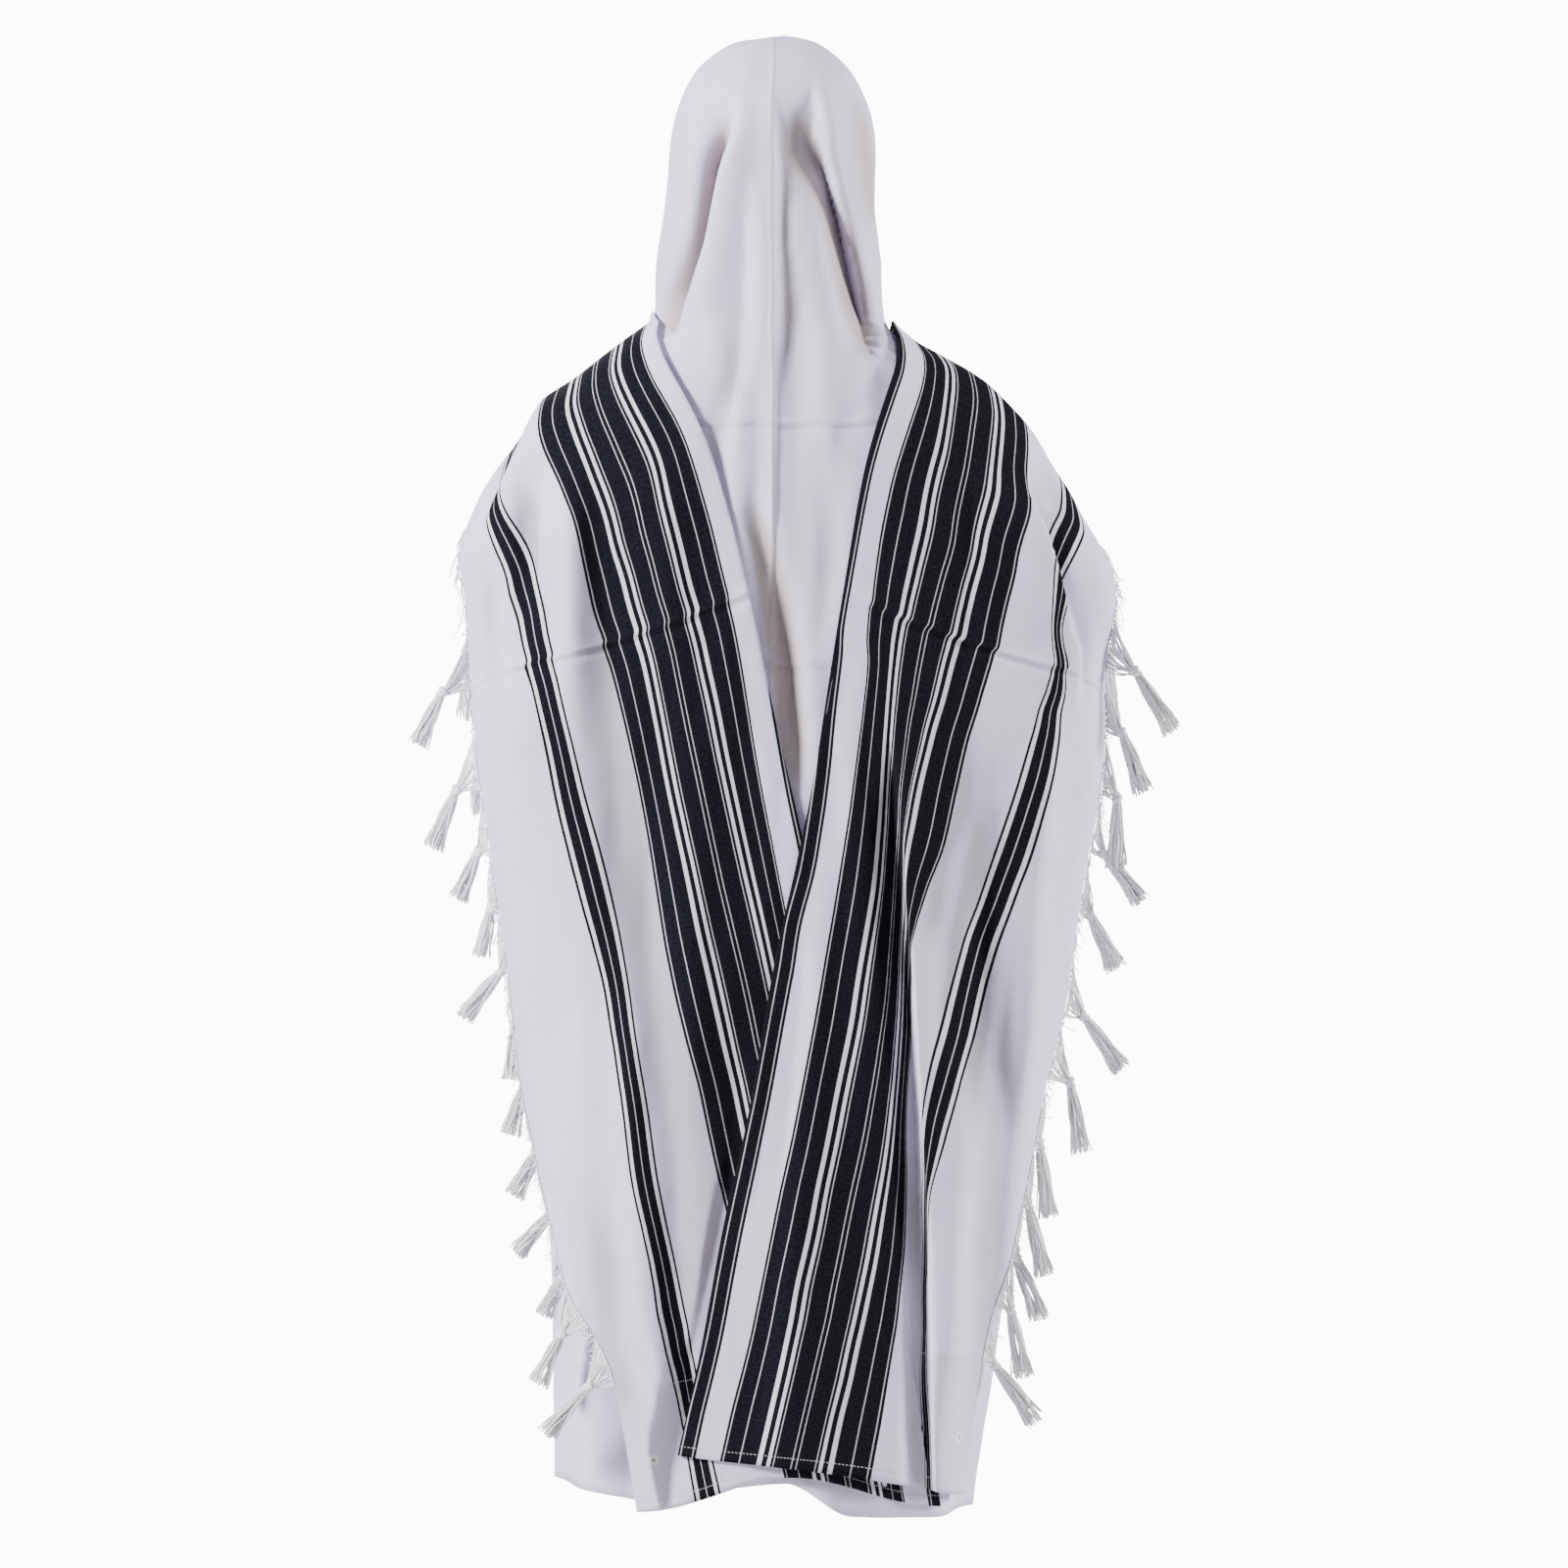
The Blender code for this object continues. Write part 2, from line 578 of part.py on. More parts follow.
def back_tassels(side, table, fringe_edge, material, collection):
    """The knotted tassels along the edge of one end, each on the stretch of edge just above its knot."""
    for number, (knot_x, knot_drop, tip_x, tip_drop) in enumerate(table, start=1):
        root_drop = knot_drop - KNOT_FALL
        heights = [-place[0][2] for place in fringe_edge]
        lengths = edge_lengths(fringe_edge)
        below = next(i for i in range(len(heights)) if heights[i + 1] < root_drop)
        share = (heights[below] - root_drop) / (heights[below] - heights[below + 1])
        at = lengths[below] + (lengths[below + 1] - lengths[below]) * share
        root, out, _ = edge_place(fringe_edge, at)
        step_back = np.array((0.0, -STEP_BACK * (number % 2), 0.0))
        knot = hang(knot_x, knot_drop, root[1]) + step_back
        tip = hang(tip_x, tip_drop, root[1]) + step_back
        clear = out * max(0.0, KNOT_OUT - float(np.dot(knot - root, out)))
        knot, tip = knot + clear, tip + clear
        strands = bmesh.new()
        fall = add_tassel(strands, knot, tip, fringe_edge, at, 3, 4, THREAD + EDGE_GAP)
        head = bmesh.new()
        add_knot(head, knot, fall)
        mesh = bpy.data.meshes.new(f"tassel_{side}_{number:02d}")
        head.to_mesh(mesh)
        head.free()
        mesh.materials.append(material)
        made = bpy.data.objects.new(mesh.name, mesh)
        collection.objects.link(made)
        fuse_strands(made, strands)


def front_fringe(side, fringe_edge, material, collection):
    """The fringe of the part that hangs in front: a narrow strip beside its edge, with tassels on it."""
    heights = [-place[0][2] for place in fringe_edge]
    top = heights.index(min(heights)) + 2
    points = []
    for root, out, normal in fringe_edge[top:]:
        out = out / np.linalg.norm(out)
        middle = root + normal * WALL / 2
        points += [middle + out * EDGE_GAP, middle + out * (EDGE_GAP + STRIP_WIDTH)]
    faces = []
    for i in range(len(points) // 2 - 1):
        corners = (2 * i, 2 * i + 1, 2 * i + 3, 2 * i + 2)
        faces.append(corners if side == "right" else corners[::-1])
    strip = mesh_object(f"fringe_{side}_front", points, faces, material, collection)
    thicken = strip.modifiers.new("Wall", "SOLIDIFY")
    thicken.thickness = WALL
    thicken.offset = 0.0

    lengths = edge_lengths(fringe_edge)
    first = lengths[top] + 1.2 * FAN_SPREAD
    last = lengths[-1] - 1.2 * FAN_SPREAD
    strands = bmesh.new()
    for number in range(FRONT_TASSELS):
        at = first + (last - first) * number / (FRONT_TASSELS - 1)
        root, out, normal = edge_place(fringe_edge, at)
        along, off, down = FRONT_KNOT
        knot = root + out * along + normal * off + np.array((0.0, 0.0, -down))
        tip = knot + np.array((0.0, 0.0, -LOCK_LENGTH)) + out * FRONT_FLARE
        fall = add_tassel(strands, knot, tip, fringe_edge, at, 2, 3, EDGE_GAP + STRIP_WIDTH / 2)
        add_knot(strands, knot, fall)
    fuse_strands(strip, strands)


def main():
    for existing in list(bpy.data.objects):
        bpy.data.objects.remove(existing, do_unlink=True)
    shawl = bpy.data.collections.new("Tallit")
    cutters = bpy.data.collections.new("Cutters")
    bpy.context.scene.collection.children.link(shawl)
    bpy.context.scene.collection.children.link(cutters)

    white = cloth_material("white wool twill", (0.80, 0.79, 0.78), 0.85)
    left_cloth = cloth_material("striped wool twill, left", (0.30, 0.30, 0.33), 0.85)
    right_cloth = cloth_material("striped wool twill, right", (0.26, 0.26, 0.30), 0.85)
    yarn = cloth_material("white wool yarn", (0.82, 0.81, 0.80), 0.90)

    hood_and_back(white, shawl)
    ends = {
        "left": (LEFT_BACK_ROWS, LEFT_SHOULDER_ROWS, left_cloth, LEFT_TASSELS),
        "right": (RIGHT_BACK_ROWS, RIGHT_SHOULDER_ROWS, right_cloth, RIGHT_TASSELS),
    }
    for side, (back_rows, shoulder_rows, cloth, tassels) in ends.items():
        _, fringe_edge = striped_end(side, back_rows, shoulder_rows, cloth, shawl)
        back_tassels(side, tassels, fringe_edge, yarn, shawl)
        front_fringe(side, fringe_edge, yarn, shawl)


main()
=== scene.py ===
# %% [markdown]
# # A tallit worn over the head
#
# A tallit is a prayer shawl: one rectangle of woven wool with dark stripes near both ends and a knotted
# fringe along each end. Here it is worn, so the one cloth shows as a hood and back, and as two striped ends
# that are thrown back over the shoulders.
#
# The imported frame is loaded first. It holds the solids that carry weight and collision, and every soft piece
# made below takes the place of one of them.

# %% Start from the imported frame
import math

import bpy
import numpy as np
from mathutils import Matrix, Vector, noise


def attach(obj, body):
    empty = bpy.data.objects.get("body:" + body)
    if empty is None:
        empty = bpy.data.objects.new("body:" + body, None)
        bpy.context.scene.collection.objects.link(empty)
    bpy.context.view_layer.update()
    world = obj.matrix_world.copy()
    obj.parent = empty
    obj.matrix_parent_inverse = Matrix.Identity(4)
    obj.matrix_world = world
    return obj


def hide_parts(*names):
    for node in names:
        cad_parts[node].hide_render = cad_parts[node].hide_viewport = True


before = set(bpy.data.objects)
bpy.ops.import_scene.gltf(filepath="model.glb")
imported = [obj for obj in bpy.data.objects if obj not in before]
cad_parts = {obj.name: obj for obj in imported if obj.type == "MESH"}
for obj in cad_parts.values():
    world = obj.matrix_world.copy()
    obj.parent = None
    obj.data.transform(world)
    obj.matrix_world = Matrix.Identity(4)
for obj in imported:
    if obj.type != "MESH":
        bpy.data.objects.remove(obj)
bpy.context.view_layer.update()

print("frame loaded:", len(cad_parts), "nodes")


def select(*pieces):
    """Select these objects and no others, and make the last one active."""
    bpy.ops.object.select_all(action="DESELECT")
    for piece in pieces:
        piece.select_set(True)
        bpy.context.view_layer.objects.active = piece


def join(into, others):
    """Join the other objects into one."""
    select(*others, into)
    bpy.ops.object.join()


# %% [markdown]
# ## The view, the light and the floor
#
# The shawl is seen straight from behind, from far away, so that its proportions stay true. Four soft lights
# stand in for a white studio: the key, from the camera's left, models the folds, a second one from the far
# right brightens that edge, a weak one from above lights the crown, and a broad one lights the front for
# whoever walks round to it. The room behind is a bright white wall, and a pale floor lies below the hem.

# %% Camera
SENSOR = 36.0
TO_THE_CLOTH = 8.95
FRAME_WIDTH = 1.4286
select()
bpy.ops.object.camera_add(location=(0.0098, -9.0, -0.683), rotation=(math.pi / 2, 0.0, 0.0))
camera = bpy.context.object
camera.name = "view_from_behind"
camera.data.sensor_width = SENSOR
camera.data.lens = SENSOR * TO_THE_CLOTH / FRAME_WIDTH
bpy.context.scene.camera = camera

# %% Lights, floor and the pale room
def area_light(name, place, aim, size, power, colour):
    """A square soft light at a place, aimed at a point."""
    turn = (Vector(aim) - Vector(place)).to_track_quat("-Z", "Y").to_euler()
    bpy.ops.object.light_add(type="AREA", location=place, rotation=turn)
    light = bpy.context.object
    light.name = name
    light.data.size = size
    light.data.energy = power
    light.data.color = colour


area_light("key", (-4.1, -2.5, 1.4), (0.0, 0.0, -0.60), 1.2, 740.0, (0.99, 0.985, 1.0))
area_light("right_side", (4.1, 0.0, 0.3), (0.0, 0.0, -0.65), 1.2, 340.0, (1.0, 0.985, 0.97))
area_light("above", (0.8, -1.6, 3.2), (0.0, 0.0, -0.3), 0.8, 60.0, (1.0, 1.0, 1.0))
area_light("front", (-0.8, 3.8, 0.8), (0.0, 0.0, -0.6), 2.0, 200.0, (1.0, 1.0, 1.0))

ROOM_LIGHT = 0.10
WALL_LIGHT = 12.0
world = bpy.data.worlds.new("pale room")
world.use_nodes = True
room = world.node_tree.nodes["Background"]
room.inputs["Color"].default_value = (1.0, 0.97, 1.0, 1.0)
room.inputs["Strength"].default_value = ROOM_LIGHT
# what the lens sees behind the shawl is a brightly lit white wall, which doesn't flood the folds with light
wall = world.node_tree.nodes.new("ShaderNodeBackground")
wall.inputs["Color"].default_value = (1.0, 1.0, 1.0, 1.0)
wall.inputs["Strength"].default_value = WALL_LIGHT
seen = world.node_tree.nodes.new("ShaderNodeLightPath")
either = world.node_tree.nodes.new("ShaderNodeMixShader")
world.node_tree.links.new(seen.outputs["Is Camera Ray"], either.inputs["Fac"])
world.node_tree.links.new(room.outputs["Background"], either.inputs[1])
world.node_tree.links.new(wall.outputs["Background"], either.inputs[2])
world.node_tree.links.new(either.outputs["Shader"], world.node_tree.nodes["World Output"].inputs["Surface"])
bpy.context.scene.world = world

bpy.ops.mesh.primitive_circle_add(vertices=64, radius=2.5, fill_type="NGON", location=(0.0, 0.0, -2.40))
floor = bpy.context.object
floor.name = "floor"
floor_finish = bpy.data.materials.new("pale floor")
floor_finish.use_nodes = True
floor_finish.node_tree.nodes["Principled BSDF"].inputs["Base Color"].default_value = (0.86, 0.86, 0.87, 1.0)
floor_finish.node_tree.nodes["Principled BSDF"].inputs["Roughness"].default_value = 0.7
floor.data.materials.append(floor_finish)
print("camera, four lights and a floor")

# %% [markdown]
# ## The form under the cloth
#
# Cloth has no shape of its own: it takes the shape of what wears it. So the first step is a plain standing
# form, a stack of rounded rings from the crown down. A point of it is found from a turn, in degrees from
# straight back, and a drop below the crown. The same form gave the solids their shape, so the fine cloth
# made here lies exactly where they are. A subdivided solid would do too, but it couldn't hold a sharp crease.

# %% The form and the rows of the two ends
WALL = 0.0016
TUCK = 0.055
TUCK_LIFT = 0.0048
FOLD_ROOM = 0.0030
OVERLAP_LIFT = 0.0085
NECK_ROOM = 0.0035
HEM_ARCH = {"left": 0.030, "right": 0.004}
ARCH_REACH = 0.24
EQUATOR = 0.125
HEAD_END = 0.20
NECK = 0.262
FACE_TURN = 109.0
DOME_POWER = 2.35
CROWN_SHARE = 0.58
FORM = [
    # drop,  left,   right,  back,  front, squareness
    (0.125, 0.0930, 0.0955, 0.108, 0.104, 2.05),
    (0.185, 0.0960, 0.0960, 0.112, 0.100, 2.05),
    (0.235, 0.0985, 0.0970, 0.115, 0.096, 2.05),
    (0.262, 0.1030, 0.1000, 0.117, 0.098, 2.05),
    (0.285, 0.1290, 0.1230, 0.119, 0.106, 2.10),
    (0.315, 0.1700, 0.1740, 0.122, 0.116, 2.15),
    (0.350, 0.2080, 0.2150, 0.126, 0.126, 2.20),
    (0.390, 0.2380, 0.2430, 0.130, 0.135, 2.25),
    (0.430, 0.2610, 0.2670, 0.134, 0.142, 2.25),
    (0.475, 0.2760, 0.2880, 0.137, 0.148, 2.25),
    (0.530, 0.2720, 0.3020, 0.139, 0.152, 2.25),
    (0.600, 0.2680, 0.2960, 0.140, 0.155, 2.25),
    (0.680, 0.2560, 0.2860, 0.141, 0.155, 2.25),
    (0.770, 0.2400, 0.2680, 0.142, 0.150, 2.25),
    (0.870, 0.2240, 0.2540, 0.143, 0.140, 2.25),
    (1.000, 0.2040, 0.2280, 0.144, 0.130, 2.25),
    (1.150, 0.1920, 0.2030, 0.145, 0.125, 2.25),
    (1.360, 0.1890, 0.1700, 0.146, 0.120, 2.25),
]
REACH = [
    # drop, turn in degrees
    (0.262, 109.0), (0.300, 124.0), (0.360, 138.0), (0.480, 149.0), (0.620, 152.0),
    (0.710, 146.0), (0.790, 128.0), (0.880, 110.0), (1.000, 101.0), (1.360, 98.0),
]
HEM = [
    # turn in degrees, drop
    (-110.0, 1.312), (-70.0, 1.322), (-45.0, 1.332), (-15.0, 1.318),
    (5.0, 1.314), (30.0, 1.344), (60.0, 1.346), (110.0, 1.336),
]
BACK_ROWS = {
    # fold x, fold drop, fringe x, fringe drop
    "left": [
        (0.140, 1.335, -0.118, 1.340), (0.118, 1.215, -0.133, 1.219), (0.096, 1.095, -0.169, 1.130),
        (0.074, 0.975, -0.200, 1.010), (0.053, 0.860, -0.222, 0.905), (0.027, 0.735, -0.243, 0.790),
        (0.000, 0.615, -0.262, 0.690), (-0.0214, 0.513, -0.268, 0.600),
    ],
    "right": [
        (-0.082, 1.288, 0.157, 1.326), (-0.062, 1.190, 0.181, 1.200), (-0.044, 1.085, 0.204, 1.105),
        (-0.0214, 0.978, 0.226, 0.985), (0.001, 0.844, 0.252, 0.878), (0.0205, 0.7545, 0.266, 0.800),
        (0.0350, 0.683, 0.280, 0.735), (0.0495, 0.590, 0.290, 0.660), (0.0625, 0.509, 0.294, 0.598),
    ],
}
SHOULDER_ROWS = {
    # fold turn, fold drop, fringe turn, fringe drop
    "left": [
        (-26.0, 0.370, -84.0, 0.520), (-52.0, 0.284, -89.0, 0.472), (-86.0, 0.252, -94.0, 0.452),
        (-112.0, 0.262, -99.0, 0.468), (-126.0, 0.330, -104.0, 0.540), (-135.0, 0.450, -107.0, 0.650),
        (-139.0, 0.600, -109.0, 0.780), (-139.0, 0.740, -110.0, 0.900),
    ],
    "right": [
        (34.0, 0.388, 84.0, 0.535), (50.0, 0.303, 89.0, 0.490), (86.0, 0.262, 94.0, 0.470),
        (112.0, 0.275, 99.0, 0.482), (126.0, 0.345, 104.0, 0.555), (135.0, 0.460, 107.0, 0.660),
        (139.0, 0.610, 109.0, 0.790), (139.0, 0.750, 110.0, 0.910),
    ],
}


def smooth_curve(rows, column, key=0):
    """A smooth function through one column of a table, with no overshoot between its rows."""
    places = np.array([row[key] for row in rows], float)
    values = np.array([row[column] for row in rows], float)
    steps = np.diff(places)
    rates = np.diff(values) / steps
    slopes = np.zeros(len(places))
    slopes[0], slopes[-1] = rates[0], rates[-1]
    for i in range(1, len(places) - 1):
        if rates[i - 1] * rates[i] > 0:
            slopes[i] = 2 * rates[i - 1] * rates[i] / (rates[i - 1] + rates[i])

    def at(place):
        place = np.clip(place, places[0], places[-1])
        i = np.clip(np.searchsorted(places, place, side="right") - 1, 0, len(steps) - 1)
        share = (place - places[i]) / steps[i]
        rise = values[i + 1] - values[i]
        start, finish = slopes[i] * steps[i], slopes[i + 1] * steps[i]
        bend = (3 * rise - 2 * start - finish) * share**2 + (start + finish - 2 * rise) * share**3
        return values[i] + start * share + bend

    return at


def ease(value, start, finish):
    """0 before start, 1 after finish, with a soft change between them."""
    share = np.clip((value - start) / (finish - start), 0.0, 1.0)
    return share * share * (3 - 2 * share)


FORM_CURVES = [smooth_curve(FORM, column) for column in range(1, 6)]
REACH_AT = smooth_curve(REACH, 1)
HEM_AT = smooth_curve(HEM, 1)


def form_point(turn, drop):
    """Points of the bare form, for arrays of turns in degrees and drops below the crown."""
    turn, drop = np.broadcast_arrays(np.asarray(turn, float), np.asarray(drop, float))
    left, right, back, front, squareness = [curve(drop) for curve in FORM_CURVES]
    across, along = np.sin(np.radians(turn)), np.cos(np.radians(turn))
    side = np.where(across < 0, left, right)
    depth = np.where(along > 0, back, front)
    far = (np.abs(across) / side) ** squareness + (np.abs(along) / depth) ** squareness
    far = far ** (-1 / squareness)
    high = np.clip(1 - drop / EQUATOR, 0.0, 1.0)
    far = far * (1 - high**DOME_POWER) ** (1 / DOME_POWER)
    return np.stack((far * across, -far * along, -drop), axis=-1)


def form_normal(turn, drop):
    """Outward directions of the form."""
    drop = np.asarray(drop, float)
    round_it = form_point(turn + 1.0, drop) - form_point(turn - 1.0, drop)
    down_it = form_point(turn, drop + 0.004) - form_point(turn, np.maximum(drop - 0.004, 0.0))
    normal = np.cross(down_it, round_it)
    return normal / np.maximum(np.linalg.norm(normal, axis=-1, keepdims=True), 1e-9)


def outward(turn, drop):
    """Which way cloth lifts off the form: away from the middle of the head, or square to the body."""
    point = form_point(turn, drop)
    head = point.copy()
    head[..., 2] = np.maximum(EQUATOR - drop, 0.0)
    head /= np.maximum(np.linalg.norm(head, axis=-1, keepdims=True), 1e-9)
    body = ease(np.asarray(drop, float), HEAD_END - 0.04, HEAD_END + 0.01)[..., None]
    mixed = head * (1 - body) + form_normal(turn, drop) * body
    return mixed / np.linalg.norm(mixed, axis=-1, keepdims=True)


def turn_at(x, drop):
    """The turn at which the back of the form reaches a given x."""
    turns = np.linspace(-88.0, 88.0, 400)
    return float(np.interp(x, form_point(turns, drop)[:, 0], turns))


print("crown to hem:", round(float(HEM_AT(0.0)), 3), "m")

# %% [markdown]
# ## Folds as soft ridges and troughs
#
# On the real shawl a fold starts where something holds the cloth, here the crown and the shoulders, and fades
# as it falls. Each fold is one line in a table: the path that it takes as seen from behind, how far it spreads
# to either side, and how high it stands. A narrow width on one side only gives the sharp lip of a lap, and a
# wide one on both sides gives a soft swell. A cloth simulation makes folds of its own choosing; laying them one
# by one puts each one where this shawl has it.

# %% Fold tables and how they are applied
def soft_fold(x, drop, path, left_width, right_width, height, fade=0.05):
    """Height of one fold at each point. The path is a list of (x, drop) from its top to its foot."""
    tops = np.array([place[1] for place in path])
    middle = np.interp(drop, tops, np.array([place[0] for place in path]))
    slope = np.gradient(np.interp(np.linspace(tops[0], tops[-1], 40), tops, [p[0] for p in path]),
                        np.linspace(tops[0], tops[-1], 40))
    lean = np.interp(drop, np.linspace(tops[0], tops[-1], 40), slope)
    apart = (x - middle) / np.sqrt(1 + lean * lean)
    width = np.where(apart < 0, left_width, right_width)
    ends = ease(drop, tops[0] - fade, tops[0] + fade) * (1 - ease(drop, tops[-1] - fade, tops[-1] + fade))
    return height * ends * np.exp(-((apart / width) ** 2))


def in_metres(table):
    """The numbers of a table, given in thousandths to keep it short, as metres or shares."""
    if isinstance(table, dict):
        return {name: in_metres(rows) for name, rows in table.items()}
    if isinstance(table, (list, tuple)):
        return [in_metres(row) for row in table]
    return round(table * 0.001, 7)


HOOD_FOLDS = in_metres([
    # in millimetres: path from top to foot as (x, drop), left width, right width, height, fade
    # the pressed middle crease: a thin raised lip, and the cloth dropping away on its right
    ([(-1, 60), (-1, 120), (0, 300), (-2, 640)], 10, 3, 3.6, 40),
    ([(9, 90), (10, 180), (12, 300)], 6, 14, -6.4, 50),
    # the deep fold that runs from the left of the crown to the nape, and the swell on its right
    ([(-40, 90), (-51, 130), (-62, 190), (-74, 225), (-84, 255)], 12, 5.5, -29, 30),
    ([(-30, 85), (-41, 135), (-52, 195), (-66, 240), (-78, 270)], 5, 24, 9.5, 40),
    ([(-66, 80), (-86, 150), (-94, 220)], 12, 14, 6, 40),
    # the deep fold on the right, with its sharp outer ridge
    ([(41, 60), (54, 95), (67, 150), (82, 210), (92, 260), (96, 282)], 4, 15, 11, 30),
    ([(34, 95), (50, 130), (62, 170), (75, 220), (85, 256), (90, 276)], 23, 6, -21, 40),
    ([(78, 55), (89, 110), (98, 180)], 11, 10, -7, 30),
    ([(24, 75), (30, 118)], 9, 10, -4.5, 30),
    # softer upright folds of the nape and the back
    ([(-25, 150), (-27, 230), (-33, 300), (-44, 370)], 15, 9, -6.5, 60),
    ([(-12, 150), (-12, 230), (-14, 300)], 8, 8, 3, 50),
    ([(36, 140), (45, 240), (52, 340), (60, 430)], 14, 18, 5, 60),
    ([(18, 230), (22, 400), (18, 560)], 13, 15, -3, 60),
    ([(-40, 330), (-30, 420), (-18, 520)], 12, 17, 4.2, 50),
    ([(60, 330), (56, 450), (40, 560)], 15, 12, -4.2, 50),
    ([(-10, 480), (-4, 560), (4, 660)], 11, 11, -3, 50),
    # the back sinks in below the edge of the left end, low in the opening between the ends
    ([(-16, 440), (2, 510), (14, 580), (22, 660)], 14, 12, -15, 50),
    # at the hem, where the back shows below the ends
    ([(-160, 1020), (-172, 1160), (-176, 1340)], 20, 26, 9, 100),
    ([(-128, 1180), (-126, 1340)], 18, 14, -7.5, 80),
    ([(20, 1240), (16, 1340)], 24, 20, -6, 60),
    ([(98, 1240), (100, 1350)], 26, 24, 7.5, 60),
])
END_FOLDS = in_metres({
    "left": [
        # the lap at the shoulder and the hollows beside it
        ([(-208, 335), (-232, 390), (-250, 430), (-263, 470)], 6, 30, 8, 30),
        ([(-214, 330), (-240, 395), (-259, 440)], 12, 5, -4, 30),
        ([(-213, 400), (-221, 450), (-222, 520)], 12, 11, -8, 50),
        ([(-258, 500), (-256, 550), (-250, 600)], 10, 12, -8.5, 40),
        ([(-236, 500), (-234, 580), (-226, 680)], 10, 14, 5, 50),
        # long soft folds down the end
        ([(-168, 420), (-150, 560), (-141, 700), (-138, 800)], 17, 15, -5, 80),
        ([(-110, 400), (-85, 560), (-62, 720), (-40, 900)], 20, 20, 3.5, 80),
        ([(-240, 560), (-232, 700), (-214, 850), (-196, 1000), (-176, 1130), (-150, 1310)], 26, 90, 26, 100),
        # and the slope down to where it goes in under the right end
        ([(-112, 860), (-118, 1000), (-112, 1130), (-104, 1300)], 22, 42, 12, 80),
        ([(-202, 440), (-206, 520), (-200, 600)], 14, 34, 12, 50),
        ([(-118, 720), (-108, 860), (-94, 1000), (-80, 1180), (-70, 1300)], 21, 15, -10, 100),
        ([(-84, 760), (-68, 900), (-54, 1060), (-44, 1250)], 17, 20, 8, 100),
        ([(-216, 430), (-206, 520), (-196, 600)], 18, 20, -6, 50),
        ([(-186, 400), (-180, 500), (-176, 600)], 15, 20, 8, 60),
        ([(-196, 860), (-186, 980), (-170, 1100), (-140, 1240)], 11, 17, -6, 80),
        ([(-168, 1060), (-150, 1180), (-130, 1260)], 6, 16, 8, 60),
        ([(-122, 1210), (-116, 1230), (-108, 1250)], 12, 12, -6, 20),
        ([(-100, 1180), (-96, 1260), (-94, 1340)], 16, 16, 6, 50),
    ],
    "right": [
        # the lap below the shoulder, with the outer lobe behind it
        ([(226, 420), (246, 480), (256, 520), (268, 560), (272, 590)], 28, 3.5, 12, 30),
        ([(236, 420), (254, 480), (264, 520), (276, 560), (281, 590)], 4, 12, -7.5, 30),
        ([(300, 470), (312, 520), (318, 560)], 18, 20, 10, 40),
        ([(250, 390), (258, 425), (262, 450)], 10, 10, -6.5, 30),
        ([(168, 360), (178, 430), (176, 520), (160, 620)], 11, 11, -4, 60),
        ([(210, 600), (200, 700), (192, 780)], 15, 12, 5, 60),
        # the deep fold that closes over part of the stripes
        ([(98, 640), (108, 740), (119, 860), (126, 960), (130, 1060), (135, 1150), (136, 1330)],
         20, 7.5, -14, 80),
        ([(80, 640), (88, 760), (94, 860), (104, 980), (112, 1100), (116, 1300)], 25, 11, 6, 80),
        ([(122, 720), (134, 860), (140, 960), (146, 1060), (150, 1180), (152, 1330)], 5.5, 20, 10, 80),
        ([(200, 660), (196, 760), (190, 860), (178, 960)], 20, 11, -8.5, 70),
        ([(214, 860), (210, 1000), (204, 1120), (196, 1280)], 24, 10, -12, 80),
        ([(166, 980), (168, 1100), (166, 1260)], 12, 20, 8, 80),
        ([(246, 640), (238, 780), (230, 900), (220, 1020)], 20, 18, 12, 80),
        ([(184, 1060), (176, 1180), (168, 1330)], 11, 12, -5.5, 60),
        ([(20, 860), (4, 1000), (-14, 1140), (-28, 1290)], 16, 16, -3.5, 80),
        ([(44, 800), (30, 980), (14, 1160), (4, 1320)], 18, 18, 4.5, 80),
    ],
})
LAPS = in_metres({
    # path, left width, right width, how far the ridge leans to the right (minus: to the left), fade
    "hood": [
        ([(-32, 100), (-42, 140), (-53, 195), (-67, 245), (-78, 275)], 7, 20, -7, 30),
        ([(47, 90), (55, 110), (67, 155), (82, 210), (92, 255), (96, 275)], 7, 16, -6.5, 30),
        ([(-96, 190), (-102, 250), (-104, 300)], 20, 12, -7.5, 50),
    ],
    "left": [
        ([(-208, 335), (-232, 390), (-250, 430), (-263, 470)], 6, 30, -3.5, 30),
    ],
    "right": [
        ([(226, 420), (246, 480), (256, 520), (268, 560), (272, 590)], 30, 6, 8.5, 30),
        ([(122, 720), (134, 860), (140, 960), (146, 1060), (150, 1180), (152, 1330)], 6, 18, -7, 80),
    ],
})
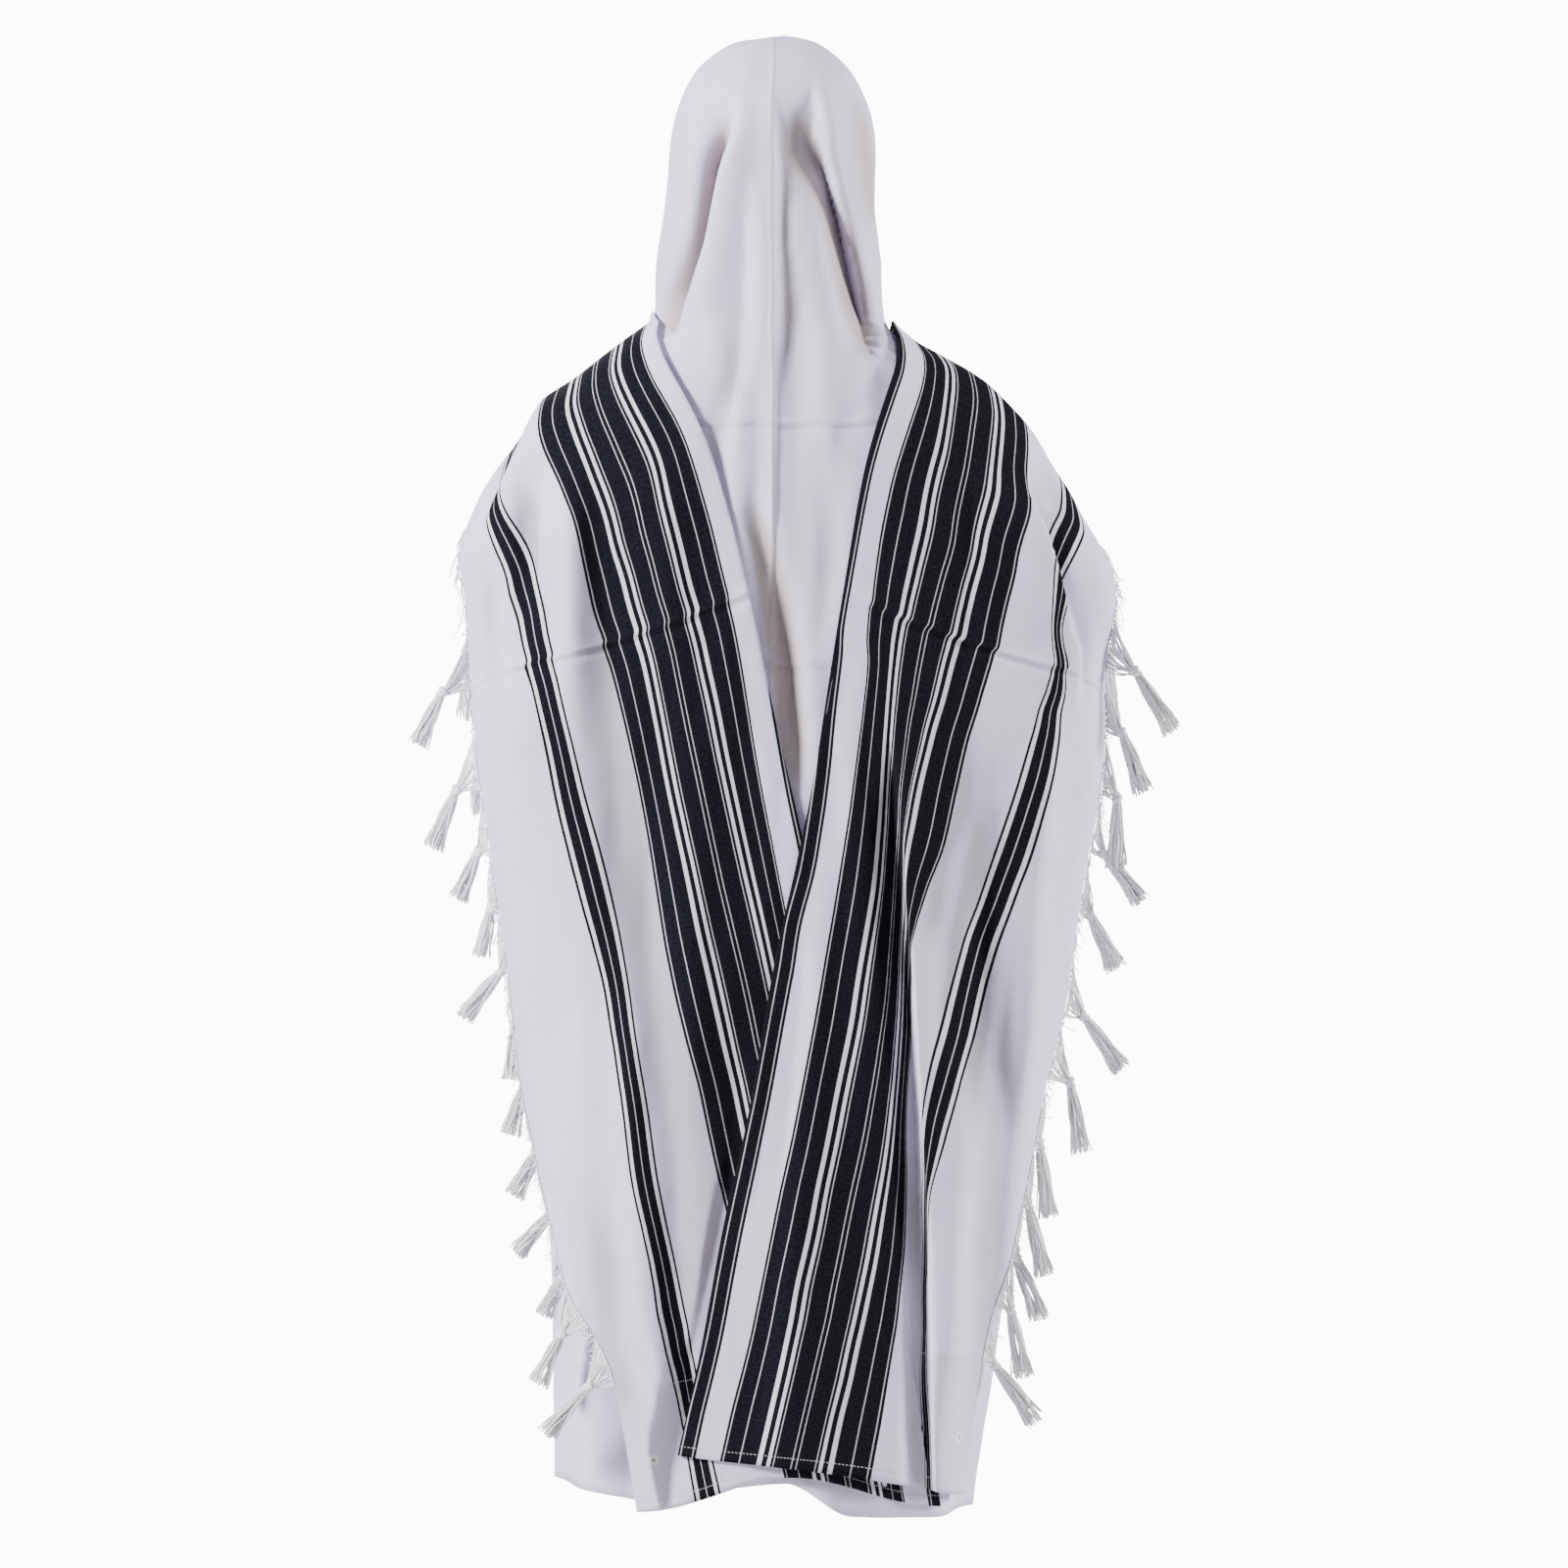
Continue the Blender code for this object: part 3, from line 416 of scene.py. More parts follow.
PAINTED_SHADE = in_metres({
    # painted shade and painted shadow: cloth that lies deep between other folds, and the back beside the left
    # end's edge, is greyer: path, left width, right width, depth, fade
    "hood": [
        ([(-46, 120), (-64, 185), (-78, 235), (-88, 268)], 7.5, 5.5, -18, 30),
        ([(34, 95), (50, 130), (63, 165), (70, 185), (79, 225), (89, 268)], 15, 7.5, -13, 30),
        ([(73, 70), (83, 120), (90, 180)], 15, 11, -9, 40),
        ([(-16, 440), (0, 520), (10, 590), (18, 670)], 12, 11, -11, 50),
        ([(-34, 300), (-52, 345), (-54, 400)], 6, 12, -4, 30),
    ],
    "left": [
        ([(-160, 500), (-155, 620), (-146, 700), (-112, 860), (-80, 1000), (-68, 1100), (-72, 1190)],
         24, 32, -16, 80),
        ([(-228, 420), (-223, 470), (-215, 540)], 11, 13, -11, 40),
        ([(-165, 1050), (-150, 1130), (-140, 1300)], 20, 22, -9, 80),
        ([(-258, 500), (-256, 560), (-250, 620)], 10, 12, -4.5, 40),
    ],
    "right": [
        ([(174, 650), (170.5, 700), (151, 754), (146, 820)], 8, 9, -12, 40),
        ([(186, 730), (179, 770), (167, 820), (158, 900)], 8, 10, -12, 40),
        ([(200, 640), (190, 760), (176, 900), (160, 1050)], 26, 24, -4, 80),
        ([(225, 400), (240, 460), (238, 560)], 14, 14, -3.5, 50),
    ],
})
RIPPLE = 0.0019


def painted_shade_at(points, table, facing):
    """How much painted shade greys the cloth at each point."""
    total = np.zeros(points.shape[:-1])
    for path, left_width, right_width, depth, fade in table:
        total += soft_fold(points[..., 0], -points[..., 2], path, left_width, right_width, depth, fade)
    return total * facing


def folds_at(points, table, laps, back_only):
    """The folds at the given points, how far they lean, and an unevenness that no worn cloth is without."""
    x, drop = points[..., 0], -points[..., 2]
    total, lean = np.zeros(x.shape), np.zeros(points.shape)
    for path, left_width, right_width, height, fade in table:
        total += soft_fold(x, drop, path, left_width, right_width, height, fade)
    facing = 1 - ease(points[..., 1], *back_only)
    for path, left_width, right_width, reach, fade in laps:
        lean[..., 0] += soft_fold(x, drop, path, left_width, right_width, reach, fade) * facing
    flat = points.reshape(-1, 3)
    ripple = np.array([
        noise.noise(Vector((p[0] * 26, p[1] * 20, p[2] * 11))) + 0.3 * noise.noise(Vector(tuple(p * 55)))
        + 0.8 * noise.noise(Vector((p[0] * 48 + 7, p[1] * 20, p[2] * 8)))
        for p in flat
    ]).reshape(x.shape)
    return total * facing, ripple * RIPPLE, lean


print(len(HOOD_FOLDS), "folds on the hood and back,", len(END_FOLDS["left"]) + len(END_FOLDS["right"]),
      "on the ends")

# %% [markdown]
# ## One flat grid, laid on the form
#
# Each stretch of cloth starts as a flat grid, like the cloth on the cutting table. Its vertices are then moved
# to where the worn cloth lies, and its UV map is written in metres of cloth, so that the stripes, the twill
# and the hem stitches follow the cloth round every fold.

# %% Lay a grid, give it a wall
BROAD_FOLDS = [
    # top turn, top drop, low turn, low drop, half width, height
    (-62.0, 0.900, -60.0, 1.400, 0.030, 0.0100),
    (58.0, 0.950, 55.0, 1.400, 0.028, 0.0100),
    (8.0, 0.980, 12.0, 1.400, 0.034, 0.0080),
    (118.0, 0.360, 122.0, 0.720, 0.026, 0.0120),
    (-120.0, 0.340, -124.0, 0.720, 0.026, 0.0120),
    # narrower ones in front, where the lifted arms pull the cloth
    (137.0, 0.420, 133.0, 0.820, 0.012, 0.0070),
    (-138.0, 0.410, -134.0, 0.840, 0.012, 0.0075),
    (101.0, 0.460, 106.0, 0.900, 0.013, 0.0065),
    (-103.0, 0.470, -106.0, 0.920, 0.013, 0.0065),
    (92.0, 0.900, 84.0, 1.400, 0.016, 0.0080),
    (-90.0, 0.880, -84.0, 1.400, 0.016, 0.0080),
]


def broad_fold(turn, drop):
    """The large folds that the back and the ends share."""
    total = np.zeros(np.broadcast(turn, drop).shape)
    radius = np.maximum(np.linalg.norm(form_point(turn, drop)[..., :2], axis=-1), 0.02)
    for top_turn, top, low_turn, low, half_width, height in BROAD_FOLDS:
        share = np.clip((drop - top) / (low - top), 0.0, 1.15)
        apart = np.radians(turn - top_turn - (low_turn - top_turn) * share) * radius / half_width
        fade = ease(drop, top - 0.02, top + 0.09) * (1 - ease(drop, low, low + 0.14))
        total += height * fade * np.exp(-apart * apart)
    return total


def cloth_point(turn, drop, lift):
    """Points of cloth that lies on the form, moved out by a lift."""
    return form_point(turn, drop) + outward(turn, drop) * (broad_fold(turn, drop) + lift)[..., None]


def flat_grid(name, columns, rows):
    """A flat grid of unit size with a UV map."""
    select()
    bpy.ops.mesh.primitive_grid_add(x_subdivisions=columns, y_subdivisions=rows, size=1.0)
    made = bpy.context.object
    made.name = name
    made.data.name = name
    made.data.uv_layers[0].name = "woven"
    return made


def lay_cloth(made, place):
    """Move a flat grid to its place, and write its cloth coordinates and the depth of painted shade from its
    folds.
    """
    mesh = made.data
    flat = np.empty(len(mesh.vertices) * 3)
    mesh.vertices.foreach_get("co", flat)
    flat = flat.reshape(-1, 3)
    points, woven, depth = place(flat[:, 0] + 0.5, flat[:, 1] + 0.5)
    mesh.vertices.foreach_set("co", points.astype(np.float32).ravel())
    corners = np.empty(len(mesh.loops), np.int32)
    mesh.loops.foreach_get("vertex_index", corners)
    mesh.uv_layers["woven"].data.foreach_set("uv", woven[corners].astype(np.float32).ravel())
    tone = mesh.attributes.new("painted_shade_depth", "FLOAT", "POINT")
    tone.data.foreach_set("value", depth.astype(np.float32))
    mesh.update()


def give_wall(made, flip):
    """Smooth the laid cloth and give it its thickness, on the outer side."""
    select(made)
    if flip:
        bpy.ops.object.mode_set(mode="EDIT")
        bpy.ops.mesh.select_all(action="SELECT")
        bpy.ops.mesh.flip_normals()
        bpy.ops.object.mode_set(mode="OBJECT")
    bpy.ops.object.shade_smooth()
    wall = made.modifiers.new("wall", "SOLIDIFY")
    wall.thickness = WALL
    wall.offset = 1.0
    wall.use_even_offset = False
    bpy.ops.object.modifier_apply(modifier="wall")
    # only the outer side gets painted shade in its hollows: the same places stand out on the inner side
    mesh = made.data
    count = len(mesh.vertices)
    place, normal, depth = np.empty(count * 3), np.empty(count * 3), np.empty(count)
    mesh.vertices.foreach_get("co", place)
    mesh.vertices.foreach_get("normal", normal)
    mesh.attributes["painted_shade_depth"].data.foreach_get("value", depth)
    outer = (place.reshape(-1, 3)[:, :2] * normal.reshape(-1, 3)[:, :2]).sum(axis=1) > 0
    mesh.attributes["painted_shade_depth"].data.foreach_set("value", (depth * outer).astype(np.float32))


def spread(low, high, places, closeness, reach):
    """A function from 0..1 to low..high that moves slowly, for close rows, near the given places."""
    fine = np.linspace(low, high, 2000)
    dense = np.ones(fine.shape)
    for place in places:
        dense += closeness * np.exp(-(((fine - place) / reach) ** 2))
    total = np.concatenate(([0.0], np.cumsum((dense[1:] + dense[:-1]) / 2)))
    return lambda share: np.interp(share * total[-1], total, fine)


# %% [markdown]
# ## The hood and back
#
# This is the plain middle of the shawl. It lies over the crown, falls down the back and reaches round both
# arms to the front, open at the face. A ball-shaped grid would pinch all its lines together at the crown, so
# the hood is a square grid stretched over the head, and the back is a second grid whose top edge is the
# hood's rim. The two are joined and their shared rim is merged. The cloth was stored folded, which left a
# sharp crease down the middle and two pressed lines across the back.

# %% Lay the hood and the back
HOOD_ACROSS, HOOD_ALONG, BACK_ROWS_FINE = 140, 74, 122
PRESSED = [0.3545, 0.5715]
face_share = math.degrees(math.atan(math.tan(math.radians(FACE_TURN - 90.0)))) / 45.0


def hood_place(column, row):
    """Turn and drop of a place in the hood's grid, where 0 to 1 runs left to right and face to nape."""
    across = np.tan(np.radians(45.0 * (2 * column - 1)))
    along = np.tan(np.radians(45.0 * (face_share - (face_share + 1) * row)))
    far = np.maximum(np.abs(across), np.abs(along))
    even = far + (np.hypot(across, along) - far) * (1 - far)
    top = EQUATOR * (1 - np.cos(np.pi / 2 * np.minimum(even / CROWN_SHARE, 1.0)))
    low = EQUATOR + (NECK - EQUATOR) * (even - CROWN_SHARE) / (1 - CROWN_SHARE)
    return np.degrees(np.arctan2(across, -along)), np.maximum(np.where(even < CROWN_SHARE, top, low), 1e-5)


def pressed_crease(points):
    """Two pressed lines across the plain back, a little puckered."""
    drop = -points[..., 2]
    total = np.zeros(drop.shape)
    for line in PRESSED:
        wander = 0.0015 * np.sin(points[..., 0] * 120.0)
        apart = (drop - line - wander) / 0.0035
        total += 0.0017 * np.exp(-apart * apart) * np.where(apart > 0, 1.0, 0.6)
        total -= 0.0013 * np.exp(-((apart - 1.6) ** 2))
    return total * (1 - ease(np.abs(points[..., 0] - 0.03), 0.10, 0.16)) * (points[..., 1] < 0)


def dress_back(turn, drop, woven):
    base = cloth_point(turn, drop, np.zeros(turn.shape))
    deep, ripple, lean = folds_at(base, HOOD_FOLDS, LAPS["hood"], (-0.01, 0.05))
    lift = deep + ripple + pressed_crease(base)
    # folds are pressed mostly straight back, so that the outline of the hood keeps its width
    away = outward(turn, drop) * (0.4, 1.0, 1.0) + np.array((0.0, -0.4, 0.0))
    away /= np.linalg.norm(away, axis=-1, keepdims=True)
    # painted shade: sunk folds and the table of painted shade set how much greyer the cloth's colour is
    deep = np.minimum(deep, 0.0) + painted_shade_at(base, PAINTED_SHADE["hood"], 1 - ease(base[..., 1], -0.045, -0.005))
    return base + away * lift[..., None] + lean, woven, deep


def lay_hood(column, row):
    turn, drop = hood_place(column, 1 - row)
    return dress_back(turn, drop, np.stack((column * 0.36, (1 - row) * 0.33), axis=-1))


RIM = HOOD_ALONG * 2 + HOOD_ACROSS
ring_drop = spread(0.0, 1.0, [0.087, 0.290], 2.6, 0.010)


def lay_back(around, down):
    """The back hangs from the hood's rim: its left side, its nape and its right side, in that order."""
    step = np.rint(around * RIM)
    column = np.clip((step - HOOD_ALONG) / HOOD_ACROSS, 0.0, 1.0)
    row = np.where(step < HOOD_ALONG, step / HOOD_ALONG,
                   np.where(step > RIM - HOOD_ALONG, (RIM - step) / HOOD_ALONG, 1.0))
    neck_turn, _ = hood_place(column, row)
    drop = NECK + (HEM_AT(neck_turn) - NECK) * ring_drop(1 - down)
    turn = neck_turn * REACH_AT(drop) / FACE_TURN
    woven = np.stack((np.radians(turn) * 0.20, -drop), axis=-1)
    return dress_back(turn, drop, woven)


back = flat_grid("cloth_hood_and_back", RIM, BACK_ROWS_FINE)
lay_cloth(back, lay_back)
hood = flat_grid("hood_grid", HOOD_ACROSS, HOOD_ALONG)
lay_cloth(hood, lay_hood)
join(back, [hood])
bpy.ops.object.mode_set(mode="EDIT")
bpy.ops.mesh.select_all(action="SELECT")
bpy.ops.mesh.remove_doubles(threshold=0.0002)
bpy.ops.mesh.normals_make_consistent(inside=False)
bpy.ops.object.mode_set(mode="OBJECT")
crown = min(back.data.polygons, key=lambda face: face.center.length)
give_wall(back, flip=crown.normal.z < 0)
back.location = (0.0, 0.0, 0.0)
print("hood and back:", len(back.data.polygons), "faces")

# %% [markdown]
# ## The striped ends
#
# Each end is thrown back over its shoulder, so the cloth doubles under at the edge beside the spine, comes
# over the shoulder from the front, and hangs down the back with its fringe on the outer side. The grid runs
# from the turned-under edge, round the fold, to the fringe, and from the hem up over the shoulder and down
# in front. Where the folds squeeze the cloth the woven stripes draw together. A table says where each edge
# of the pattern lies across the width, row by row, and the UV map is drawn to it.

# %% Where the pattern lies, and the two ends
# distance from the fringe edge of each edge of the pattern, from the fold outwards, in metres of cloth
PATTERN_EDGES = (0.318, 0.293, 0.268, 0.233, 0.2055, 0.178, 0.143, 0.091, 0.058, 0.0)
PATTERN_ROWS = in_metres({
    # length from the hem in millimetres, then, for the pattern's edges between the fold and the fringe
    # edge, how far across the end each lies, in thousandths of its width
    "right": [
        (0, 59, 135, 274, 369, 467, 620, 805, 830),
        (45, 57, 135, 277, 371, 469, 617, 765, 788),
        (90, 60, 140, 279, 373, 476, 609, 718, 740),
        (135, 62, 144, 277, 374, 473, 596, 683, 698),
        (180, 61, 144, 269, 367, 464, 569, 634, 654),
        (225, 61, 144, 271, 364, 456, 547, 597, 626),
        (270, 60, 143, 268, 364, 451, 522, 566, 608),
        (315, 58, 144, 269, 365, 443, 492, 545, 614),
        (360, 59, 144, 268, 360, 428, 466, 532, 624),
        (405, 60, 143, 266, 347, 403, 437, 517, 628),
        (450, 61, 140, 257, 333, 375, 403, 509, 621),
        (495, 54, 134, 251, 314, 348, 390, 515, 628),
        (540, 59, 126, 244, 294, 328, 394, 542, 650),
        (585, 53, 120, 229, 276, 308, 414, 565, 678),
        (630, 45, 114, 210, 256, 300, 421, 586, 693),
        (675, 36, 112, 196, 252, 312, 433, 609, 713),
        (720, 31, 108, 188, 260, 338, 463, 641, 725),
        (745, 23, 94, 190, 270, 356, 488, 672, 742),
        (768, 24, 92, 200, 285, 380, 514, 688, 733),
        (810, 28, 93, 225, 317, 411, 542, 672, 706),
        (855, 32, 100, 244, 346, 440, 562, 668, 740),
        (900, 35, 107, 241, 344, 444, 562, 674, 788),
        (945, 36, 108, 215, 320, 425, 552, 712, 832),
        (990, 31, 105, 212, 316, 412, 548, 728, 840),
        (1060, 24, 95, 215, 325, 430, 560, 730, 840),
        (1160, 40, 120, 230, 335, 440, 560, 715, 820),
        (1512, 60, 140, 250, 345, 440, 550, 710, 815),
    ],
    "left": [
        (0, 51, 130, 219, 322, 421, 526, 729, 813),
        (45, 38, 118, 212, 314, 417, 526, 735, 815),
        (90, 24, 110, 203, 305, 406, 520, 735, 816),
        (135, 18, 98, 195, 294, 393, 511, 724, 806),
        (180, 17, 95, 185, 276, 367, 484, 682, 770),
        (225, 16, 92, 174, 262, 346, 457, 641, 718),
        (270, 17, 89, 168, 248, 330, 435, 610, 682),
        (315, 18, 85, 161, 238, 314, 418, 580, 653),
        (360, 19, 83, 155, 229, 302, 405, 553, 622),
        (405, 20, 83, 153, 225, 297, 398, 534, 600),
        (450, 21, 84, 152, 225, 298, 403, 525, 590),
        (495, 21, 85, 154, 229, 303, 412, 523, 592),
        (540, 20, 84, 157, 235, 309, 416, 525, 604),
        (585, 19, 82, 161, 240, 312, 414, 531, 620),
        (630, 18, 79, 163, 241, 316, 410, 540, 632),
        (675, 12, 73, 163, 241, 318, 408, 552, 639),
        (720, 4, 65, 162, 243, 317, 412, 561, 642),
        (765, -14, 60, 167, 245, 319, 422, 572, 652),
        (810, -14, 58, 171, 248, 327, 439, 584, 672),
        (855, -14, 60, 181, 264, 346, 466, 606, 704),
        (900, -14, 64, 190, 281, 374, 485, 642, 752),
        (945, -14, 60, 176, 281, 380, 492, 668, 770),
        (975, -14, 64, 176, 276, 372, 494, 684, 764),
        (998, -14, 64, 180, 274, 368, 498, 680, 716),
        (1022, -14, 66, 182, 276, 368, 498, 622, 708),
        (1060, -14, 75, 190, 282, 374, 498, 580, 694),
        (1160, -10, 110, 225, 325, 420, 510, 590, 720),
        (1573, -10, 140, 250, 345, 440, 550, 710, 815),
    ],
})
CREASE_AT = {"left": 0.811, "right": 0.770}
END_ROWS_FINE = 300
END_COLUMNS = 150
WIDTH_STEPS = ([0.0, 0.06, 0.12, 1.0], [-1.0, 0.0, 1.0, 2.0])
BAND_WIDTH = PATTERN_EDGES[0] - PATTERN_EDGES[1]
FOLD_BEND = 0.0042
SUNK_ROOM = 0.0030
LEFT_END_ROOM = 0.0116
LEAST_ROOM = 0.0008
MOST_PROUD = 0.0300
UNDER_RIGHT_END = 0.0262


def end_edges(side):
    """Turn and drop of both edges of an end, and the drop and turn of its rows, by length from the hem."""
    rows = []
    for fold_x, fold_drop, fringe_x, fringe_drop in BACK_ROWS[side]:
        rows.append((turn_at(fold_x, fold_drop), fold_drop, turn_at(fringe_x, fringe_drop), fringe_drop))
    rows += SHOULDER_ROWS[side]
    lengths = [0.0]
    for before, after in zip(rows, rows[1:]):
        steps = [np.linalg.norm(form_point(after[i], after[i + 1]) - form_point(before[i], before[i + 1]))
                 for i in (0, 2)]
        lengths.append(lengths[-1] + float(sum(steps)) / 2)
    table = [(length, *row) for length, row in zip(lengths, rows)]
    return [smooth_curve(table, column) for column in range(1, 5)], lengths[-1]


LEFT_FOLD_X = smooth_curve(BACK_ROWS["left"][::-1], 0, key=1)
RIGHT_FOLD_X = smooth_curve(BACK_ROWS["right"][::-1], 0, key=1)


def lay_end(side):
    """The function that lays one end's grid, and keeps its fringe edge for the tassels."""
    curves, length = end_edges(side)
    edges_at = [smooth_curve(PATTERN_ROWS[side], column) for column in range(1, 9)]
    kept = {}
    close_rows = spread(0.0, 1.0, [CREASE_AT[side] / length], 3.5, 0.014)

    def place(across, along):
        level, row = np.unique(np.round(close_rows(along), 6), return_inverse=True)
        far = level * length
        fold_turn, fold_drop, fringe_turn, fringe_drop = [curve(far)[:, None] for curve in curves]
        arch = (HEM_ARCH[side] * (1 - ease(far, 0.0, ARCH_REACH)))[:, None]

        def surface(share):
            drop = fold_drop + (fringe_drop - fold_drop) * share - arch * np.sin(np.pi * share) ** 2
            return fold_turn + (fringe_turn - fold_turn) * share, drop

        steps = np.linspace(0.0, 1.0, 61)[None, :]
        turn, drop = surface(steps)
        dense = cloth_point(turn, drop, np.zeros(turn.shape))
        lengths = np.linalg.norm(np.diff(dense, axis=1), axis=2)
        lengths = np.concatenate((np.zeros((len(level), 1)), np.cumsum(lengths, axis=1)), axis=1)
        width = lengths[:, -1]

        # across the grid: the turned-under part, the bend of the fold, and the part that shows. Over the part
        # that shows, the columns keep to the threads, so that every stripe has a clean edge
        stage = np.interp(across, *WIDTH_STEPS)
        shares = np.stack([edge(far) for edge in edges_at] + [np.ones(len(level))])
        shares = np.vstack((shares[0] - BAND_WIDTH / width, shares))
        metres, from_fringe, share = np.empty((3, len(across)))
        for i in range(len(level)):
            here = np.flatnonzero(row == i)
            at_bend = np.interp(FOLD_BEND / width[i], shares[:, i], PATTERN_EDGES)
            threads = at_bend * (2 - np.maximum(stage[here], 1.0))
            shown = np.interp(-threads, -np.array(PATTERN_EDGES), shares[:, i]) * width[i]
            turned = FOLD_BEND + (TUCK - FOLD_BEND) * -stage[here]
            round_fold = np.sqrt(((stage[here] * 2 - 1) * FOLD_BEND) ** 2 + 1e-6) - 1e-3
            metres[here] = np.where(stage[here] < 0, turned, np.where(stage[here] < 1, round_fold, shown))
            main = np.where(stage[here] > 0.5, metres[here], -metres[here]) / width[i]
            beyond = np.maximum(shares[0, i] - main, 0.0) * width[i]
            on_turn = np.interp(main, shares[:, i], PATTERN_EDGES) + beyond
            from_fringe[here] = np.where(stage[here] < 1, on_turn, threads)
            share[here] = np.interp(metres[here], lengths[i], steps[0])
        high, low = fold_drop[row, 0], fringe_drop[row, 0]
        start, finish = fold_turn[row, 0], fringe_turn[row, 0]
        drop = high + (low - high) * share - arch[row, 0] * np.sin(np.pi * share) ** 2
        turn = start + (finish - start) * share

        on_back = 1 - ease(np.abs(finish), 90.0, 100.0)
        lift = TUCK_LIFT + NECK_ROOM * (1 - ease(high, 0.34, 0.50))
        if side == "right":
            lift = lift + OVERLAP_LIFT * ease(high, 0.42, 0.66) * on_back
        shows = ease(stage, 0.0, 1.0)
        lift = lift + FOLD_ROOM * shows
        base = cloth_point(turn, drop, lift)
        deep, ripple, lean = folds_at(base, END_FOLDS[side], LAPS[side], (0.0, 0.06))
        from_fold = ease(metres, 0.0, 0.030)
        apart = (far[row] - CREASE_AT[side]) / 0.0036
        crease = 0.0016 * np.exp(-np.abs(apart)) - 0.0015 * np.exp(-((apart + 1.7) ** 2))
        # how far a fold may sink before it meets the cloth under it, and how far it may stand out
        over_left = (side == "right") & (base[:, 0] < LEFT_FOLD_X(high) + 0.012)
        room = lift - np.where(over_left, LEFT_END_ROOM, SUNK_ROOM)
        room = LEAST_ROOM + (room - LEAST_ROOM) * ease(metres, TUCK + 0.002, TUCK + 0.016)
        proud = np.where(stage > 1, deep * from_fold, 0.0) + (ripple + crease) * shows * on_back
        cap = MOST_PROUD
        if side == "left":
            covered = ease(base[:, 0] - RIGHT_FOLD_X(high), -0.034, -0.010)
            cap = MOST_PROUD - UNDER_RIGHT_END * covered * ease(high, 0.50, 0.62)
        proud = np.minimum(np.where(stage > 0.999, np.maximum(proud, -room), proud), cap)
        # as on the hood, the folds stand out to the back more than to the side
        out = outward(turn, drop)
        away = out + on_back[..., None] * (out * (-0.6, 0, 0) + (0.0, -0.4, 0.0))
        away /= np.linalg.norm(away, axis=-1, keepdims=True)
        points = base + away * proud[..., None] + lean * (stage > 1)[:, None]

        # below the pressed crease the stripes set off again a little to one side
        below = CREASE_AT[side] - far[row]
        jog = 0.0013 * np.tanh(below / 0.0025) * np.exp(-((below / 0.016) ** 2)) * (1 if side == "left" else -1)
        from_fringe += jog * ease(metres, 0.0, 0.04) * (1 - ease(stage, 1.90, 2.0))
        edge = stage > 1.9999
        order = np.argsort(far[row][edge])
        kept["edge"] = points[edge][order]
        kept["normal"] = out[edge][order]
        beside = (across < 1.0 - 0.4 / END_COLUMNS) & (across > 1.0 - 1.6 / END_COLUMNS)
        kept["inside"] = points[beside][np.argsort(far[row][beside])]
        # painted shade on the part that shows: sunk folds and the table of painted shade grey its colour
        tone = (np.minimum(deep, 0.0) + painted_shade_at(base, PAINTED_SHADE[side], on_back)) * (stage > 1)
        return points, np.stack((from_fringe, far[row]), axis=-1), tone

    return place, kept, length


ends, edges, end_length = {}, {}, {}
for side in ("left", "right"):
    place, kept, end_length[side] = lay_end(side)
    end = flat_grid(f"cloth_{side}_end", END_COLUMNS, END_ROWS_FINE)
    lay_cloth(end, place)
    middle = end.data.polygons[len(end.data.polygons) // 4]
    give_wall(end, flip=middle.normal.y > 0)
    end.location = (0.0, 0.0, 0.0)
    ends[side], edges[side] = end, kept
    print(end.name, len(end.data.polygons), "faces, fringe edge", len(kept["edge"]), "points")

# %% [markdown]
# ## The knotted fringe
#
# The loose ends of the weft hang out of the cloth's edge. A few centimetres' worth at a time is gathered and
# knotted, and the rest hangs below the knot as a soft brush. So each tassel here is three things: a fan of
# fine threads from the edge, a knot, and a brush that opens towards its tip. The threads are thin curves made
# into mesh, because a solid cone would look like a candle; the knot is a ball with two cords wound round it.

# %% Threads, knots and one tassel
LEFT_TASSELS = [
    # knot x, knot drop, tip x, tip drop
    (-0.302, 0.597, -0.320, 0.632), (-0.290, 0.688, -0.307, 0.727), (-0.270, 0.744, -0.284, 0.775),
    (-0.258, 0.796, -0.265, 0.828), (-0.248, 0.853, -0.276, 0.884), (-0.236, 0.905, -0.237, 0.940),
    (-0.225, 0.956, -0.236, 0.990), (-0.209, 1.013, -0.229, 1.046), (-0.195, 1.071, -0.222, 1.099),
    (-0.182, 1.122, -0.200, 1.153), (-0.180, 1.179, -0.197, 1.212), (-0.166, 1.226, -0.197, 1.258),
]
RIGHT_TASSELS = [
    (0.330, 0.580, 0.357, 0.620), (0.318, 0.636, 0.334, 0.676), (0.314, 0.693, 0.313, 0.742),
    (0.302, 0.746, 0.329, 0.778), (0.290, 0.802, 0.309, 0.838), (0.283, 0.895, 0.311, 0.931),
    (0.268, 0.955, 0.277, 1.003), (0.240, 1.012, 0.246, 1.062), (0.227, 1.067, 0.239, 1.115),
    (0.216, 1.112, 0.235, 1.156), (0.205, 1.160, 0.214, 1.206), (0.197, 1.212, 0.228, 1.251),
]
TASSEL_CLEAR = 0.0145
STEP_BACK = 0.006
KNOT_FALL = 0.024
KNOT_OUT = 0.012
FAN_SPREAD = 0.0235
FAN_THREADS = 26
BRUSH_THREADS = 58
THREAD = 0.00078
KNOT = 0.0050
DOWN = np.array((0.0, 0.0, -1.0))
chance = np.random.default_rng(7)


def threads_to_mesh(name, threads, thickness):
    """Turn lists of points into one mesh of fine round threads."""
    curve = bpy.data.curves.new(name, "CURVE")
    curve.dimensions = "3D"
    curve.bevel_depth = thickness
    curve.bevel_resolution = 0
    curve.use_fill_caps = True
    for points, taper in threads:
        line = curve.splines.new("POLY")
        line.points.add(len(points) - 1)
        line.points.foreach_set("co", np.column_stack((points, np.ones(len(points)))).ravel())
        line.points.foreach_set("radius", taper)
    made = bpy.data.objects.new(name, curve)
    bpy.context.scene.collection.objects.link(made)
    select(made)
    bpy.ops.object.convert(target="MESH")
    made = bpy.context.object
    made.name = name
    made.data.name = name
    return made


